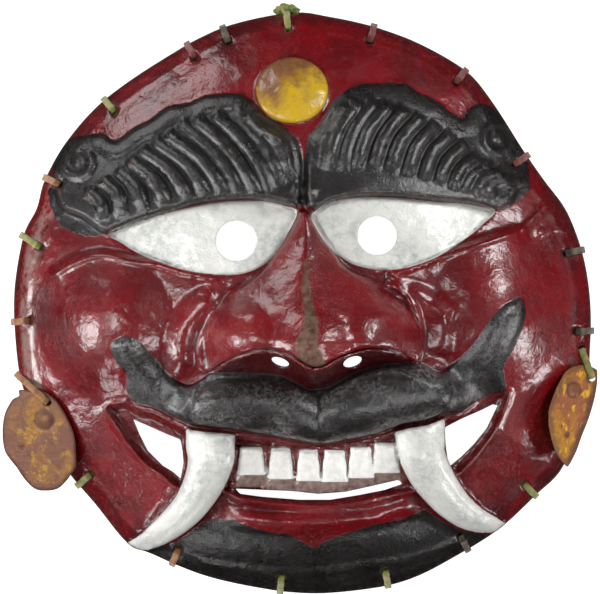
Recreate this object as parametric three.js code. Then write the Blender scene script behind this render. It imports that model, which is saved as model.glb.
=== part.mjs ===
// A painted demon mask hammered out of one sheet of copper, lying on its rim with the face up.
// Millimetres, +Z up out of the face, +Y to the top of the head, +X to the picture's right.
import * as THREE from 'three';

// Driving sizes.
const FACE_WIDTH = 300;        // across the face, without the ear discs
const TRACED_WIDTH = 577;      // the same width in the units the features were traced in
const TRACED_CENTRE = [302.5, 302];
const SHEET = 1.2;             // copper sheet
const STEEPEST = 3.2;          // the sheet's upright thickness is at most this many times SHEET
const RIM_EDGE = 1.8;          // height of the rim's outer lip
const RIM_FOOT = 1.5;          // width of the flat edge the mask lies on
const DOME = 62;               // rise of the plain face from rim to middle
const EYE_HOLE_LEFT = 10.5;    // radius of each pupil opening
const EYE_HOLE_RIGHT = 10.1;
const DISC_SHEET = 1.5;        // ear discs
const DISC_KNOB = 1.8;         // rise of the knob on each disc
const TIE_HOLE = 2.2;          // radius of the lacing holes
const TIE_REACH = 8;           // lacing hole to rim
const TIE_WIDTH = 2.6;
const TIE_THICK = 1.1;
const TIE_GAP = 0.65;          // clear space between a tie and the sheet it holds
const RIM_LIFT = 2.7;          // the rim is beaten up this far to let each tie pass under
const SPACING = 13.6;          // plain facets
const FINE = 8;                // facets along the carving

const UNIT = FACE_WIDTH / TRACED_WIDTH;
const at = ([u, v]) => [(u - TRACED_CENTRE[0]) * UNIT, (TRACED_CENTRE[1] - v) * UNIT];

// Small tools.
const clamp = (x, low, high) => Math.min(high, Math.max(low, x));
const mix = (a, b, t) => a + (b - a) * t;
const step = (a, b, x) => { const t = clamp((x - a) / (b - a), 0, 1); return t * t * (3 - 2 * t); };
const ridge = (d, half) => (d < half ? (1 - (d / half) ** 2) ** 2 : 0);
const dist = (p, q) => Math.hypot(p[0] - q[0], p[1] - q[1]);

function smoothed(points, closed, steps = 6) {
  const n = points.length;
  const pick = i => (closed ? points[(i + n) % n] : points[clamp(i, 0, n - 1)]);
  const line = [];
  for (let i = 0; i < (closed ? n : n - 1); i++) {
    const [a, b, c, d] = [pick(i - 1), pick(i), pick(i + 1), pick(i + 2)];
    for (let k = 0; k < steps; k++) {
      const t = k / steps;
      line.push([0, 1].map(j => 0.5 * (2 * b[j] + (c[j] - a[j]) * t
        + (2 * a[j] - 5 * b[j] + 4 * c[j] - d[j]) * t * t + (3 * b[j] - a[j] - 3 * c[j] + d[j]) * t ** 3)));
    }
  }
  if (!closed) line.push(points[n - 1]);
  return line;
}
const curve = points => smoothed(points.map(at), false);
const loop = points => smoothed(points.map(at), true);

// Distance from a point to a line, and how far along the line the nearest place is.
function reach(line, p, closed = false) {
  let best = Infinity;
  let where = 0;
  let side = 1;                // 1 to the left of the line's run, -1 to the right
  const spans = closed ? line.length : line.length - 1;
  for (let i = 0; i < spans; i++) {
    const a = line[i];
    const b = line[(i + 1) % line.length];
    const [dx, dy] = [b[0] - a[0], b[1] - a[1]];
    const t = clamp(((p[0] - a[0]) * dx + (p[1] - a[1]) * dy) / (dx * dx + dy * dy || 1), 0, 1);
    const d = Math.hypot(p[0] - a[0] - t * dx, p[1] - a[1] - t * dy);
    if (d < best) {
      best = d;
      where = (i + t) / spans;
      side = Math.sign(dx * (p[1] - a[1]) - dy * (p[0] - a[0])) || 1;
    }
  }
  return { d: best, t: where, side };
}

function inside(poly, [x, y]) {
  let odd = false;
  for (let i = 0, j = poly.length - 1; i < poly.length; j = i++) {
    const [a, b] = [poly[i], poly[j]];
    if ((a[1] > y) !== (b[1] > y) && x < (b[0] - a[0]) * (y - a[1]) / (b[1] - a[1]) + a[0]) odd = !odd;
  }
  return odd;
}
const depth = (poly, p) => (inside(poly, p) ? 1 : -1) * reach(poly, p, true).d;
const table = (values, t) => {
  const s = clamp(t, 0, 1) * (values.length - 1);
  const i = Math.min(Math.floor(s), values.length - 2);
  return mix(values[i], values[i + 1], s - i);
};
const ring = (centre, radius, count) => Array.from({ length: count }, (_, i) => {
  const a = 2 * Math.PI * i / count;
  return [centre[0] + radius * Math.cos(a), centre[1] + radius * Math.sin(a)];
});

// Points at even steps along a line.
function spaced(line, gap, closed = false) {
  const pts = closed ? [...line, line[0]] : line;
  const lengths = pts.slice(1).map((p, i) => dist(p, pts[i]));
  const total = lengths.reduce((a, b) => a + b, 0);
  const count = Math.max(closed ? 3 : 1, Math.round(total / gap));
  const out = [];
  for (let k = 0; k < count + (closed ? 0 : 1); k++) {
    let s = total * k / count;
    let i = 0;
    while (i < lengths.length - 1 && s > lengths[i]) s -= lengths[i++];
    const t = clamp(s / (lengths[i] || 1), 0, 1);
    out.push([mix(pts[i][0], pts[i + 1][0], t), mix(pts[i][1], pts[i + 1][1], t)]);
  }
  return out;
}

// The same points moved sideways by some distance, to the left of the line's run.
function beside(points, offset, closed = false) {
  const n = points.length;
  return points.map((p, i) => {
    const a = closed ? points[(i - 1 + n) % n] : points[Math.max(i - 1, 0)];
    const b = closed ? points[(i + 1) % n] : points[Math.min(i + 1, n - 1)];
    const len = dist(a, b) || 1;
    return [p[0] - (b[1] - a[1]) / len * offset, p[1] + (b[0] - a[0]) / len * offset];
  });
}

// Traced features.
const OUTLINE = loop([[290, 12], [330, 16], [374, 26], [420, 43], [466, 70], [492, 100], [524, 150],
  [545, 180], [568, 212], [584, 256], [591, 300], [591, 345], [586, 400], [565, 465], [536, 496],
  [503, 527], [468, 550], [410, 580], [350, 592], [290, 593], [210, 578], [150, 554], [127, 544],
  [95, 505], [62, 465], [36, 420], [20, 380], [14, 330], [14, 285], [23, 235], [36, 208], [44, 180],
  [66, 141], [103, 100], [160, 60], [222, 27]]);
const BOSS = { centre: at([292, 91]), wide: 36 * UNIT, tall: 33 * UNIT, rise: 5.5 };

const BROWS = [
  {
    top: curve([[52, 163], [64, 143], [80, 136], [103, 134], [115, 141], [134, 128], [152, 119],
      [168, 107], [190, 103], [205, 96], [225, 94], [242, 95], [254, 104], [266, 117], [282, 126],
      [298, 142], [303, 165]]),
    low: curve([[53, 184], [61, 208], [82, 218], [96, 228], [109, 233], [141, 221], [170, 213],
      [200, 204], [250, 200], [285, 205], [299, 208]]),
    from: curve([[86, 190], [105, 176], [123, 166], [135, 153], [151, 142], [166, 133], [182, 121],
      [201, 116], [226, 111], [246, 113], [262, 118]]),
    to: curve([[110, 210], [135, 209], [166, 207], [191, 201], [216, 197], [236, 192], [258, 190],
      [275, 184], [290, 180], [297, 167]]),
    band: 2.4,
    bulge: 5,
    curl: { centre: at([77, 162]), radius: 18 * UNIT },
  },
  {
    top: curve([[305, 165], [308, 140], [321, 122], [334, 101], [345, 92], [357, 86], [370, 84],
      [396, 84], [407, 85], [418, 93], [436, 101], [450, 112], [463, 119], [468, 110], [478, 104],
      [490, 106], [504, 117], [522, 147], [530, 172]]),
    low: curve([[307, 208], [318, 210], [330, 203], [350, 198], [375, 197], [400, 198], [430, 201],
      [460, 203], [480, 206], [495, 210], [510, 203], [518, 191], [528, 188]]),
    from: curve([[345, 104], [370, 100], [396, 106], [424, 118], [450, 132], [474, 152], [494, 168],
      [510, 178]]),
    to: curve([[315, 172], [336, 176], [362, 172], [392, 176], [420, 184], [446, 190], [466, 196],
      [486, 200]]),
    band: 0.9,
    bulge: 5,
    curl: { centre: at([499, 138]), radius: 18 * UNIT },
  },
];
const COMBED = 13;             // ridges combed into each brow
for (const brow of BROWS) {
  brow.loop = [...brow.top, ...[...brow.low].reverse()];
  brow.hairs = Array.from({ length: COMBED }, (_, i) => {
    const share = i / (COMBED - 1);
    const a = pointAt(brow.from, share);
    const b = pointAt(brow.to, share);
    const side = Math.sign(b[0] - a[0]) || 1;
    const mid = [(a[0] + b[0]) / 2 + side * brow.bulge * UNIT, (a[1] + b[1]) / 2 + brow.bulge * UNIT];
    return smoothed([a, mid, b], false, 4);
  });
}
function pointAt(line, t) {
  const s = t * (line.length - 1);
  const i = Math.min(Math.floor(s), line.length - 2);
  return [mix(line[i][0], line[i + 1][0], s - i), mix(line[i][1], line[i + 1][1], s - i)];
}

const EYES = [
  {
    loop: loop([[109, 233], [141, 221], [170, 213], [200, 206], [230, 202], [262, 202], [283, 206],
      [297, 212], [290, 230], [280, 247], [270, 260], [255, 270], [235, 275], [210, 274], [185, 270],
      [160, 262], [140, 254], [122, 243]]),
    hole: at([236.6, 241.2]), radius: EYE_HOLE_LEFT, centre: at([215, 238]), wide: 80 * UNIT,
  },
  {
    loop: loop([[311, 217], [318, 210], [330, 203], [350, 199], [375, 198], [400, 199], [430, 202],
      [460, 204], [480, 207], [495, 211], [483, 224], [470, 235], [450, 249], [430, 260], [405, 268],
      [380, 270], [357, 266], [340, 257], [328, 246], [318, 232]]),
    hole: at([376.9, 236]), radius: EYE_HOLE_RIGHT, centre: at([395, 235]), wide: 80 * UNIT,
  },
];

const NOSE = loop([[302, 212], [296, 222], [286, 240], [266, 268], [250, 282], [234, 291], [222, 301],
  [212, 313], [206, 325], [201, 340], [201, 358], [207, 371], [232, 358], [262, 349], [290, 354],
  [315, 367], [340, 356], [368, 348], [398, 352], [416, 363], [419, 354], [419, 337], [414, 319],
  [404, 303], [394, 287], [372, 279], [346, 268], [327, 243], [314, 222]]);
const NOSE_RIDGE = curve([[302, 205], [305, 220], [306, 234], [307, 272], [312, 307], [313, 337],
  [315, 367]]);
const NOSE_TOP = at([302, 212])[1];
const NOSE_END = at([315, 367])[1];
const NOSE_HALF = [6, 22, 45, 78, 104, 107, 107].map(w => w * UNIT);
const NOSE_RISE = [7, 11, 17, 24, 31, 36, 35];
const NOSE_FRONT = curve([[207, 371], [232, 358], [262, 349], [290, 354], [315, 367], [340, 356],
  [368, 348], [398, 352], [416, 363]]);
const NOSTRILS = [
  { centre: at([280.5, 361]), half: [9 * UNIT, 3.8 * UNIT], turn: -0.35 },
  { centre: at([352, 361]), half: [9.5 * UNIT, 4.8 * UNIT], turn: 0.35 },
];

const CHEEKS = [
  { lid: curve([[45, 284], [60, 272], [76, 263], [101, 256], [134, 262], [160, 266], [187, 274],
    [215, 279], [240, 285]]), centre: at([107, 326]), half: [70 * UNIT, 78 * UNIT] },
  { lid: curve([[385, 276], [400, 272], [422, 264], [451, 254], [479, 245], [506, 236], [528, 230]]),
    centre: at([500, 312]), half: [70 * UNIT, 84 * UNIT] },
];
const FOLDS = [
  { line: curve([[224, 297], [202, 307], [186, 326], [181, 350], [190, 376]]), half: 21 * UNIT, rise: 5.5 },
  { line: curve([[404, 292], [430, 310], [440, 334], [436, 358]]), half: 17 * UNIT, rise: 3.5 },
];
const KNOB = { centre: at([305, 192]), half: [15 * UNIT, 10 * UNIT] };

const MOUSTACHE = loop([[112, 346], [120, 338], [132, 337], [143, 344], [155, 357], [171, 375],
  [188, 385], [203, 379], [212, 373], [234, 372], [260, 373], [284, 376], [307, 388], [318, 388],
  [331, 385], [351, 373], [373, 366], [395, 363], [420, 363], [437, 372], [445, 369], [461, 356],
  [476, 339], [488, 321], [502, 306], [512, 300], [519, 298], [524, 305], [524, 318], [520, 331],
  [511, 351], [503, 366], [504, 378], [504, 390], [483, 396], [461, 411], [447, 412], [425, 420],
  [403, 424], [373, 434], [348, 439], [326, 443], [305, 441], [276, 436], [247, 431], [225, 428],
  [195, 425], [182, 420], [159, 408], [137, 402], [127, 389], [128, 375], [117, 361]]);
const MOUSTACHE_TOP = curve([[188, 385], [203, 379], [212, 373], [234, 372], [260, 373], [284, 376],
  [307, 388], [318, 388], [331, 385], [351, 373], [373, 366], [395, 363], [420, 363], [437, 372]]);
const LIP = curve([[160, 394], [190, 405], [225, 406], [265, 408], [300, 416], [318, 419],
  [345, 413], [385, 400], [420, 395], [450, 393], [478, 386]]);
const LIP_HALF = [10, 15, 24, 27, 27, 26, 27, 30, 28, 20, 12].map(w => w * UNIT);
const HORNS = [
  curve([[125, 341], [135, 355], [150, 375], [165, 391]]),
  curve([[515, 303], [505, 325], [492, 348], [475, 372], [462, 390]]),
];

const MOUTH = loop([[107, 408], [130, 402], [159, 408], [182, 420], [225, 428], [276, 436],
  [326, 443], [373, 434], [403, 424], [447, 412], [483, 396], [508, 391], [497, 425], [480, 450],
  [462, 470], [455, 474], [417, 489], [385, 494], [350, 501], [318, 504], [280, 502], [240, 497],
  [225, 491], [180, 487], [162, 474], [148, 465], [134, 450], [122, 434]]);
const CORNERS = [
  [[134, 419], [148, 425], [166, 433], [181, 439], [183, 450], [184, 462], [181, 478], [173, 471],
    [163, 465], [148, 450], [140, 434]],
  [[497, 405], [492, 404], [482, 409], [461, 418], [444, 427], [445, 444], [447, 458], [450, 465],
    [461, 456], [473, 444], [486, 428]],
].map(points => points.map(at));
const SLOT = [[236, 488], [262, 489], [290, 490], [318, 493], [345, 491], [372, 485], [398, 479],
  [402, 483], [385, 489], [360, 494], [330, 499], [300, 499], [262, 496], [240, 493]].map(at);
// Each front tooth: left and right side, top, lower end of the white.
const TEETH = [[240, 263, 446, 474], [271, 291, 447, 478], [299, 318, 449, 480], [324, 345, 449, 481],
  [350, 371, 446, 477], [374, 397, 442, 472]];
const TUSKS = [
  { line: curve([[211, 430], [211, 445], [211, 460], [205, 480], [192, 503], [176, 520], [158, 534],
    [143, 543], [128, 546]]), half: [24, 24, 22.5, 20, 17, 15, 12, 8.5, 3].map(w => w * UNIT) },
  { line: curve([[419, 426], [420, 440], [422, 455], [431, 475], [446, 496], [463, 512], [480, 521],
    [497, 526], [505, 526]]), half: [25, 24.5, 22.5, 21, 18, 15, 11.5, 7, 3].map(w => w * UNIT) },
];
const TUSK_RISE = [9, 13, 16, 16, 15, 13, 11, 8, 5];
const LOWER_LIPS = [
  { line: curve([[228, 496], [260, 503], [318, 508], [370, 502], [414, 491]]), half: 3.6, rise: 2.6 },
  { line: curve([[217, 515], [260, 520], [300, 522], [359, 517], [394, 511], [420, 503]]),
    half: 8, rise: 5.2 },
];
const CHIN = { centre: at([312, 552]), half: [150 * UNIT, 44 * UNIT] };
const CHIN_CREASE = curve([[140, 551], [180, 562], [239, 568], [300, 573], [357, 566], [415, 557],
  [464, 538]]);

// Lacing round the rim: where the tie crosses the rim, its colour, and its hole where that was seen.
const TIES = [
  [[286, 8], 'green'], [[222, 25], 'dark'], [[186, 42], 'red'], [[103, 98], 'green'],
  [[46, 178], 'ochre'], [[22, 236], 'green', [40, 247]], [[13, 322], 'ochre'], [[78, 485], 'green'],
  [[172, 564], 'ochre'], [[280, 593], 'green'], [[388, 586], 'green'], [[468, 550], 'dark'],
  [[536, 496], 'green'], [[591, 331], 'dark'], [[582, 250], 'dark', [567, 253]],
  [[528, 155], 'red'], [[466, 70], 'red'], [[374, 26], 'red'],
].map(([rim, colour, hole]) => ({ rim: at(rim), colour, hole: hole && at(hole) }));
const EAR_TIES = [
  { name: 'ear_tie_left', colour: 'ochre', hole: at([48, 402]), rim: at([18, 376]), beyond: 3 },
  { name: 'ear_tie_right', colour: 'green', hole: at([582, 349]), rim: at([592.5, 378]), beyond: 0 },
];

// Snap each tie to the rim and give it a hole straight inward.
function squareUp(tie) {
  const near = pointAt([...OUTLINE, OUTLINE[0]], reach(OUTLINE, tie.rim, true).t);
  let best = null;
  for (const q of ring(near, TIE_REACH, 72)) {
    const d = depth(OUTLINE, q);
    if (!best || d > best.d) best = { q, d };
  }
  return { ...tie, rim: near, hole: tie.hole || best.q };
}
const LACING = TIES.map(squareUp);
const lifts = [...LACING.map(t => t.rim), at([19, 378]), at([589, 366]), at([590, 374])];
const rimLift = p => RIM_LIFT * Math.max(...lifts.map(r => 1 - step(2.6, 9, dist(p, r))));

// The face as a height over each place.
const dome = d => RIM_EDGE + DOME * (1 - (1 - clamp(d / (FACE_WIDTH / 2), 0, 1)) ** 2.2) ** 0.625;
const mound = (p, centre, half, power = 1) => {
  const r = ((p[0] - centre[0]) / half[0]) ** 2 + ((p[1] - centre[1]) / half[1]) ** 2;
  return r < 1 ? (1 - r) ** power : 0;
};

// A ridge along a line that sinks to nothing at both ends.
const ends = (t, share) => step(0, share, t) * step(1, 1 - share, t);
function faded(line, p, half, share = 0.14) {
  const near = reach(line, p);
  return ridge(near.d, half) * ends(near.t, share);
}

function browRise(p, brow) {
  const s = depth(brow.loop, p);
  if (s < -0.5) return 0;
  const top = reach(brow.top, p).d;
  const low = reach(brow.low, p).d;
  const share = top / (top + low + 1e-6);
  const band = brow.band * step(-0.2, 1.8, top) * step(8.6, 6, top);
  let hair = { d: Infinity };
  for (const line of brow.hairs) {
    const near = reach(line, p);
    if (near.d < hair.d) hair = near;
  }
  const comb = 3 * (1 - clamp(hair.d / 3.9, 0, 1) ** 2) * ends(hair.t, 0.12) * step(2.5, 6, top);
  const curl = dist(p, brow.curl.centre) / brow.curl.radius;
  const knob = 2.6 * ridge(Math.abs(curl - 0.82), 0.33) + 2.4 * ridge(curl, 0.34);
  const carved = curl < 1.1 ? Math.max(knob, band * step(0.7, 1.1, curl)) : band + comb;
  return step(-0.5, 1.2, s) * (1.6 + 7.5 * share + carved);
}

function noseRise(p) {
  const t = clamp((NOSE_TOP - p[1]) / (NOSE_TOP - NOSE_END), 0, 1);
  const middle = NOSE_RIDGE[Math.round(t * (NOSE_RIDGE.length - 1))][0];
  const across = Math.abs(p[0] - middle) / table(NOSE_HALF, t);
  const rise = table(NOSE_RISE, t);
  const slope = rise * Math.max(0, 1 - across ** (1.25 + 0.55 * t) * 0.92);
  const wings = 7.5 * (mound(p, at([238, 336]), [38 * UNIT, 42 * UNIT], 1.3)
    + mound(p, at([384, 330]), [38 * UNIT, 42 * UNIT], 1.3));
  const tip = 4 * mound(p, at([313, 345]), [42 * UNIT, 36 * UNIT]);
  return slope + wings + tip;
}

function plain(p) {
  return dome(Math.max(depth(OUTLINE, p), 0)) + rimLift(p);
}

function relief(x, y) {
  const p = [x, y];
  const base = plain(p);
  let z = base;
  for (const cheek of CHEEKS) {
    const lid = reach(cheek.lid, p);
    const crest = lid.side > 0 ? ridge(lid.d, 5) : Math.max(0, 1 - lid.d / 19) ** 2;
    z += 14.5 * mound(p, cheek.centre, cheek.half, 1.45) + 4.6 * crest * ends(lid.t, 0.13);
  }
  for (const fold of FOLDS) z += fold.rise * faded(fold.line, p, fold.half, 0.2);
  z += 7 * mound(p, CHIN.centre, CHIN.half, 1) + 1.7 * faded(CHIN_CREASE, p, 3.2, 0.05);
  for (const lip of LOWER_LIPS) z += lip.rise * faded(lip.line, p, lip.half);
  for (const brow of BROWS) z = Math.max(z, base + browRise(p, brow));
  z += 3.5 * mound(p, KNOB.centre, KNOB.half, 1.5);
  const boss = Math.hypot((x - BOSS.centre[0]) / BOSS.wide, (y - BOSS.centre[1]) / BOSS.tall);
  if (boss < 1.02) z += 2 * step(1.02, 0.96, boss) + (BOSS.rise - 2) * Math.max(0, 1 - boss ** 2);

  const nose = depth(NOSE, p);
  if (nose > -0.8) z = mix(z, Math.max(base + noseRise(p), base + 2), step(-0.8, 0.6, nose));
  const front = reach(NOSE_FRONT, p);
  const under = reach(MOUSTACHE_TOP, p);
  const wide = step(at([206, 0])[0], at([222, 0])[0], x) * step(at([420, 0])[0], at([404, 0])[0], x);
  if (nose <= -0.4 && y < NOSE_FRONT[0][1] + 13 && depth(MOUSTACHE, p) < 0 && wide > 0
    && front.d + under.d < 19) {
    const edge = pointAt(NOSE_FRONT, front.t);
    const drop = clamp(front.d / (front.d + under.d), 0, 1);
    z = Math.max(z, mix(z, base + mix(noseRise(edge), 3, drop ** 0.8), wide));
  }

  for (const eye of EYES) {
    const s = depth(eye.loop, p);
    if (s < -0.2) continue;
    const bow = 5 * Math.max(0, 1 - (dist(p, eye.centre) / eye.wide) ** 2);
    z = mix(z, base - 1.5 + bow, step(-0.2, 1.3, s));
  }

  const mouth = depth(MOUTH, p);
  if (mouth > -0.4) {
    let floor = base - 4;
    for (const [left, right, top, low] of TEETH) {
      const [x0, y0] = at([left, top]);
      const [x1, y1] = at([right, low]);
      const w = Math.min(x - x0, x1 - x);
      const h = Math.min(y0 - y, y - y1 + 7);
      floor = Math.max(floor, base - 4 + 6.5 * step(-1.4, 1.6, w) * step(-1.2, 1.6, h));
    }
    z = mix(z, floor, step(-0.4, 4.2, mouth));
  }

  const tache = depth(MOUSTACHE, p);
  if (tache > -0.4) {
    const lip = reach(LIP, p);
    const roll = 12 * Math.max(0, 1 - (lip.d / (table(LIP_HALF, lip.t) + 2)) ** 2.4) * step(0, 0.16, lip.t)
      * step(1, 0.84, lip.t);
    const horn = 4 * Math.max(...HORNS.map(line => ridge(reach(line, p).d, 15 * UNIT * 1.3)));
    const groove = 3 * ridge(Math.abs(x - at([318, 0])[0]), 3.4) * step(-150 * UNIT, -90 * UNIT, y);
    z = mix(z, base + 5 + Math.max(roll - groove, horn), step(-0.4, 1.2, tache));
  }

  for (const tusk of TUSKS) {
    const near = reach(tusk.line, p);
    const half = table(tusk.half, near.t);
    const r = near.d / half;
    if (r < 1.12 && tache < -1.4) {
      const top = base + table(TUSK_RISE, near.t) * (0.45 + 0.55 * Math.sqrt(Math.max(0, 1 - r * r)));
      z = Math.max(z, mix(base - 4, top, step(1.12, 0.94, r) * step(-1.4, -2.8, tache)));
    }
  }
  return z;
}

function slope(height, x, y) {
  const e = 0.5;
  return Math.hypot(height(x + e, y) - height(x - e, y), height(x, y + e) - height(x, y - e)) / (2 * e);
}

// Delaunay triangles of scattered points.
function delaunay(points) {
  const n = points.length;
  const far = 1e4;
  const pts = [...points, [-far, -far], [far, -far], [0, far]];
  const make = (a, b, c) => {
    const [A, B, C] = [pts[a], pts[b], pts[c]];
    const [bx, by, cx, cy] = [B[0] - A[0], B[1] - A[1], C[0] - A[0], C[1] - A[1]];
    const d = 2 * (bx * cy - by * cx);
    const ux = (cy * (bx * bx + by * by) - by * (cx * cx + cy * cy)) / d;
    const uy = (bx * (cx * cx + cy * cy) - cx * (bx * bx + by * by)) / d;
    return { v: [a, b, c], x: A[0] + ux, y: A[1] + uy, r: ux * ux + uy * uy };
  };
  let tris = [make(n, n + 1, n + 2)];
  for (let i = 0; i < n; i++) {
    const [x, y] = pts[i];
    const edges = new Map();
    const kept = [];
    for (const t of tris) {
      if ((x - t.x) ** 2 + (y - t.y) ** 2 >= t.r) { kept.push(t); continue; }
      for (let k = 0; k < 3; k++) {
        const [a, b] = [t.v[k], t.v[(k + 1) % 3]];
        if (!edges.delete(`${b},${a}`)) edges.set(`${a},${b}`, [a, b]);
      }
    }
    for (const [a, b] of edges.values()) kept.push(make(a, b, i));
    tris = kept;
  }
  return tris.map(t => t.v).filter(v => v.every(i => i < n));
}

// A solid sheet over scattered points: upper face, lower face, and a wall wherever an edge is free.
function sheetSolid(rim, holes, scattered, top, low) {
  const points = [...rim, ...holes.flat(), ...scattered];
  const shaken = points.map(([x, y], i) => [x + 1e-4 * Math.sin(i * 12.9), y + 1e-4 * Math.sin(i * 78.2)]);
  const tris = delaunay(shaken).filter(v => {
    const c = [0, 1].map(k => (points[v[0]][k] + points[v[1]][k] + points[v[2]][k]) / 3);
    return inside(rim, c) && !holes.some(h => inside(h, c));
  });
  const upper = points.map(([x, y]) => top(x, y));
  const lower = points.map(([x, y], i) => low(x, y, upper[i]));
  const position = [];
  const put = (i, heights) => position.push(points[i][0], points[i][1], heights[i]);
  const free = new Set();
  for (const v of tris) {
    for (const i of v) put(i, upper);
    for (const i of [v[0], v[2], v[1]]) put(i, lower);
    for (let k = 0; k < 3; k++) {
      const [a, b] = [v[k], v[(k + 1) % 3]];
      if (!free.delete(`${b},${a}`)) free.add(`${a},${b}`);
    }
  }
  for (const key of free) {
    const [a, b] = key.split(',').map(Number);
    put(a, upper); put(a, lower); put(b, upper);
    put(b, upper); put(a, lower); put(b, lower);
  }
  const geometry = new THREE.BufferGeometry();
  geometry.setAttribute('position', new THREE.Float32BufferAttribute(position, 3));
  geometry.computeVertexNormals();
  const span = ([x, y]) => {
    for (const [a, b, c] of tris) {
      const [A, B, C] = [points[a], points[b], points[c]];
      const d = (B[0] - A[0]) * (C[1] - A[1]) - (B[1] - A[1]) * (C[0] - A[0]);
      const s = ((x - A[0]) * (C[1] - A[1]) - (y - A[1]) * (C[0] - A[0])) / d;
      const t = ((B[0] - A[0]) * (y - A[1]) - (B[1] - A[1]) * (x - A[0])) / d;
      if (s < -1e-9 || t < -1e-9 || s + t > 1 + 1e-9) continue;
      const blend = h => h[a] + s * (h[b] - h[a]) + t * (h[c] - h[a]);
      return [blend(upper), blend(lower)];
    }
    return null;
  };
  return { geometry, span, count: tris.length };
}

// Rim stations: even steps, with extra ones at each tie so the lift shows.
function rimStations() {
  const fine = spaced(OUTLINE, 1, true);
  const stations = new Set();
  const marks = [];
  for (const r of lifts) {
    let k = 0;
    fine.forEach((p, i) => { if (dist(p, r) < dist(fine[k], r)) k = i; });
    for (const s of [-9, -3, 3, 9]) marks.push((k + s + fine.length) % fine.length);
  }
  marks.sort((a, b) => a - b);
  const apart = marks.filter((m, i) => i === 0 || m - marks[i - 1] >= 3);
  apart.forEach((m, i) => {
    const next = i + 1 < apart.length ? apart[i + 1] : apart[0] + fine.length;
    const parts = Math.max(1, Math.round((next - m) / 10));
    for (let k = 0; k < parts; k++) stations.add(Math.round(m + (next - m) * k / parts) % fine.length);
  });
  return [...stations].sort((a, b) => a - b).map(i => fine[i]);
}

const eyeHoles = EYES.map(eye => ring(eye.hole, eye.radius, 20));
const nostrilHoles = NOSTRILS.map(({ centre, half, turn }) => ring([0, 0], 1, 10).map(([a, b]) => {
  const [u, v] = [a * half[0], b * half[1]];
  return [centre[0] + u * Math.cos(turn) - v * Math.sin(turn), centre[1] + u * Math.sin(turn) + v * Math.cos(turn)];
}));
const laceHoles = [...LACING, ...EAR_TIES].map(tie => ring(tie.hole, TIE_HOLE, 6));
const mouthHoles = [...CORNERS, SLOT].map(poly => spaced(poly, 4.5, true));
const holes = [...eyeHoles, ...nostrilHoles, ...laceHoles, ...mouthHoles];

const rim = rimStations();
const scattered = [];
const taken = [...rim, ...holes.flat()];
function scatter(points, gap) {
  for (const p of points) {
    if (depth(OUTLINE, p) < 1.3 || holes.some(h => inside(h, p))) continue;
    if (taken.some(q => Math.abs(q[0] - p[0]) < gap && dist(p, q) < gap)) continue;
    taken.push(p);
    scattered.push(p);
  }
}
// Rows of points beside one line that share their stations, so that facets run along the line.
const rows = (line, offsets, gap = FINE, closed = false, near = 1.15) => {
  const stations = spaced(line, gap, closed);
  for (const offset of offsets) scatter(beside(stations, offset, closed), near);
};
const single = (line, gap = FINE, near = 2.4, closed = false) => scatter(spaced(line, gap, closed), near);

scatter(beside(rim, -RIM_FOOT, true), 1.2);
scatter(beside(rim.filter((p, i) => i % 2), -6, true), 4);
for (const eye of EYES) rows(eye.loop, [0.75, -0.75], FINE, true);
for (const tusk of TUSKS) {
  const stations = spaced(tusk.line, 6);
  stations.forEach((p, i) => {
    const half = table(tusk.half, i / (stations.length - 1));
    for (const r of [-1.12, -0.92, -0.4, 0.4, 0.92, 1.12]) {
      scatter([beside(stations, r * half)[i]], Math.abs(r) > 0.9 ? 1.1 : 2.2);
    }
  });
}
for (const [left, right, top, low] of TEETH) {
  for (const v of [top - 2.5, top + 3, (top + low) / 2, low, low + 11]) {
    scatter([left - 2, left + 3, right - 3, right + 2].map(u => at([u, v])), 1.3);
  }
}
rows(MOUSTACHE, [0.7, -0.7], FINE, true);
rows(NOSE_FRONT, [0.6, -0.6]);
rows(NOSE, [0.7, -0.7], FINE, true);
single(NOSE_RIDGE, 6);
rows(LIP, [0, 7, -7], 9, false, 2.4);
for (const horn of HORNS) single(horn, 7);
rows(MOUTH, [0.7, -0.7], 10, true);
for (const brow of BROWS) {
  rows(brow.low, [0.8, -0.8]);
  rows(brow.top, [0.6, -0.6, -2.9], FINE, false, 1.2);
  for (const share of [0.86, 0.5]) single(ring(brow.curl.centre, brow.curl.radius * share, 8), 6, 1.8, true);
  scatter([brow.curl.centre], 1.5);
  for (let i = 0; i < COMBED; i++) {
    const [hair, next] = [brow.hairs[i], brow.hairs[Math.min(i + 1, COMBED - 1)]];
    for (let k = 0; k < hair.length; k += 2) {
      scatter([hair[k], [(hair[k][0] + next[k][0]) / 2, (hair[k][1] + next[k][1]) / 2]], 1.6);
    }
  }
}
for (const scale of [1.03, 0.95]) {
  scatter(ring([0, 0], 1, 18).map(([a, b]) => [BOSS.centre[0] + a * BOSS.wide * scale,
    BOSS.centre[1] + b * BOSS.tall * scale]), 1.1);
}
scatter([BOSS.centre, ...ring(BOSS.centre, 9, 8)], 2.5);
rows(LOWER_LIPS[0].line, [0, -3.4], 9, false, 1.8);
rows(LOWER_LIPS[1].line, [0, -5], 9, false, 1.8);
single(CHIN_CREASE, 8, 2.2);
for (const fold of FOLDS) rows(fold.line, [0, 5.5, -5.5], 8, false, 2.6);
for (const cheek of CHEEKS) {
  rows(cheek.lid, [0, 5, -5], 9, false, 2.6);
  single(ring([0, 0], 1, 40).map(([a, b]) => [cheek.centre[0] + a * cheek.half[0],
    cheek.centre[1] + b * cheek.half[1]]), 10, 3.6, true);
}
for (let row = 0, y = -152; y < 152; row++, y += SPACING * 0.866) {
  for (let x = -152 + (row % 2) * SPACING / 2; x < 152; x += SPACING) scatter([[x, y]], 6.2);
}

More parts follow.
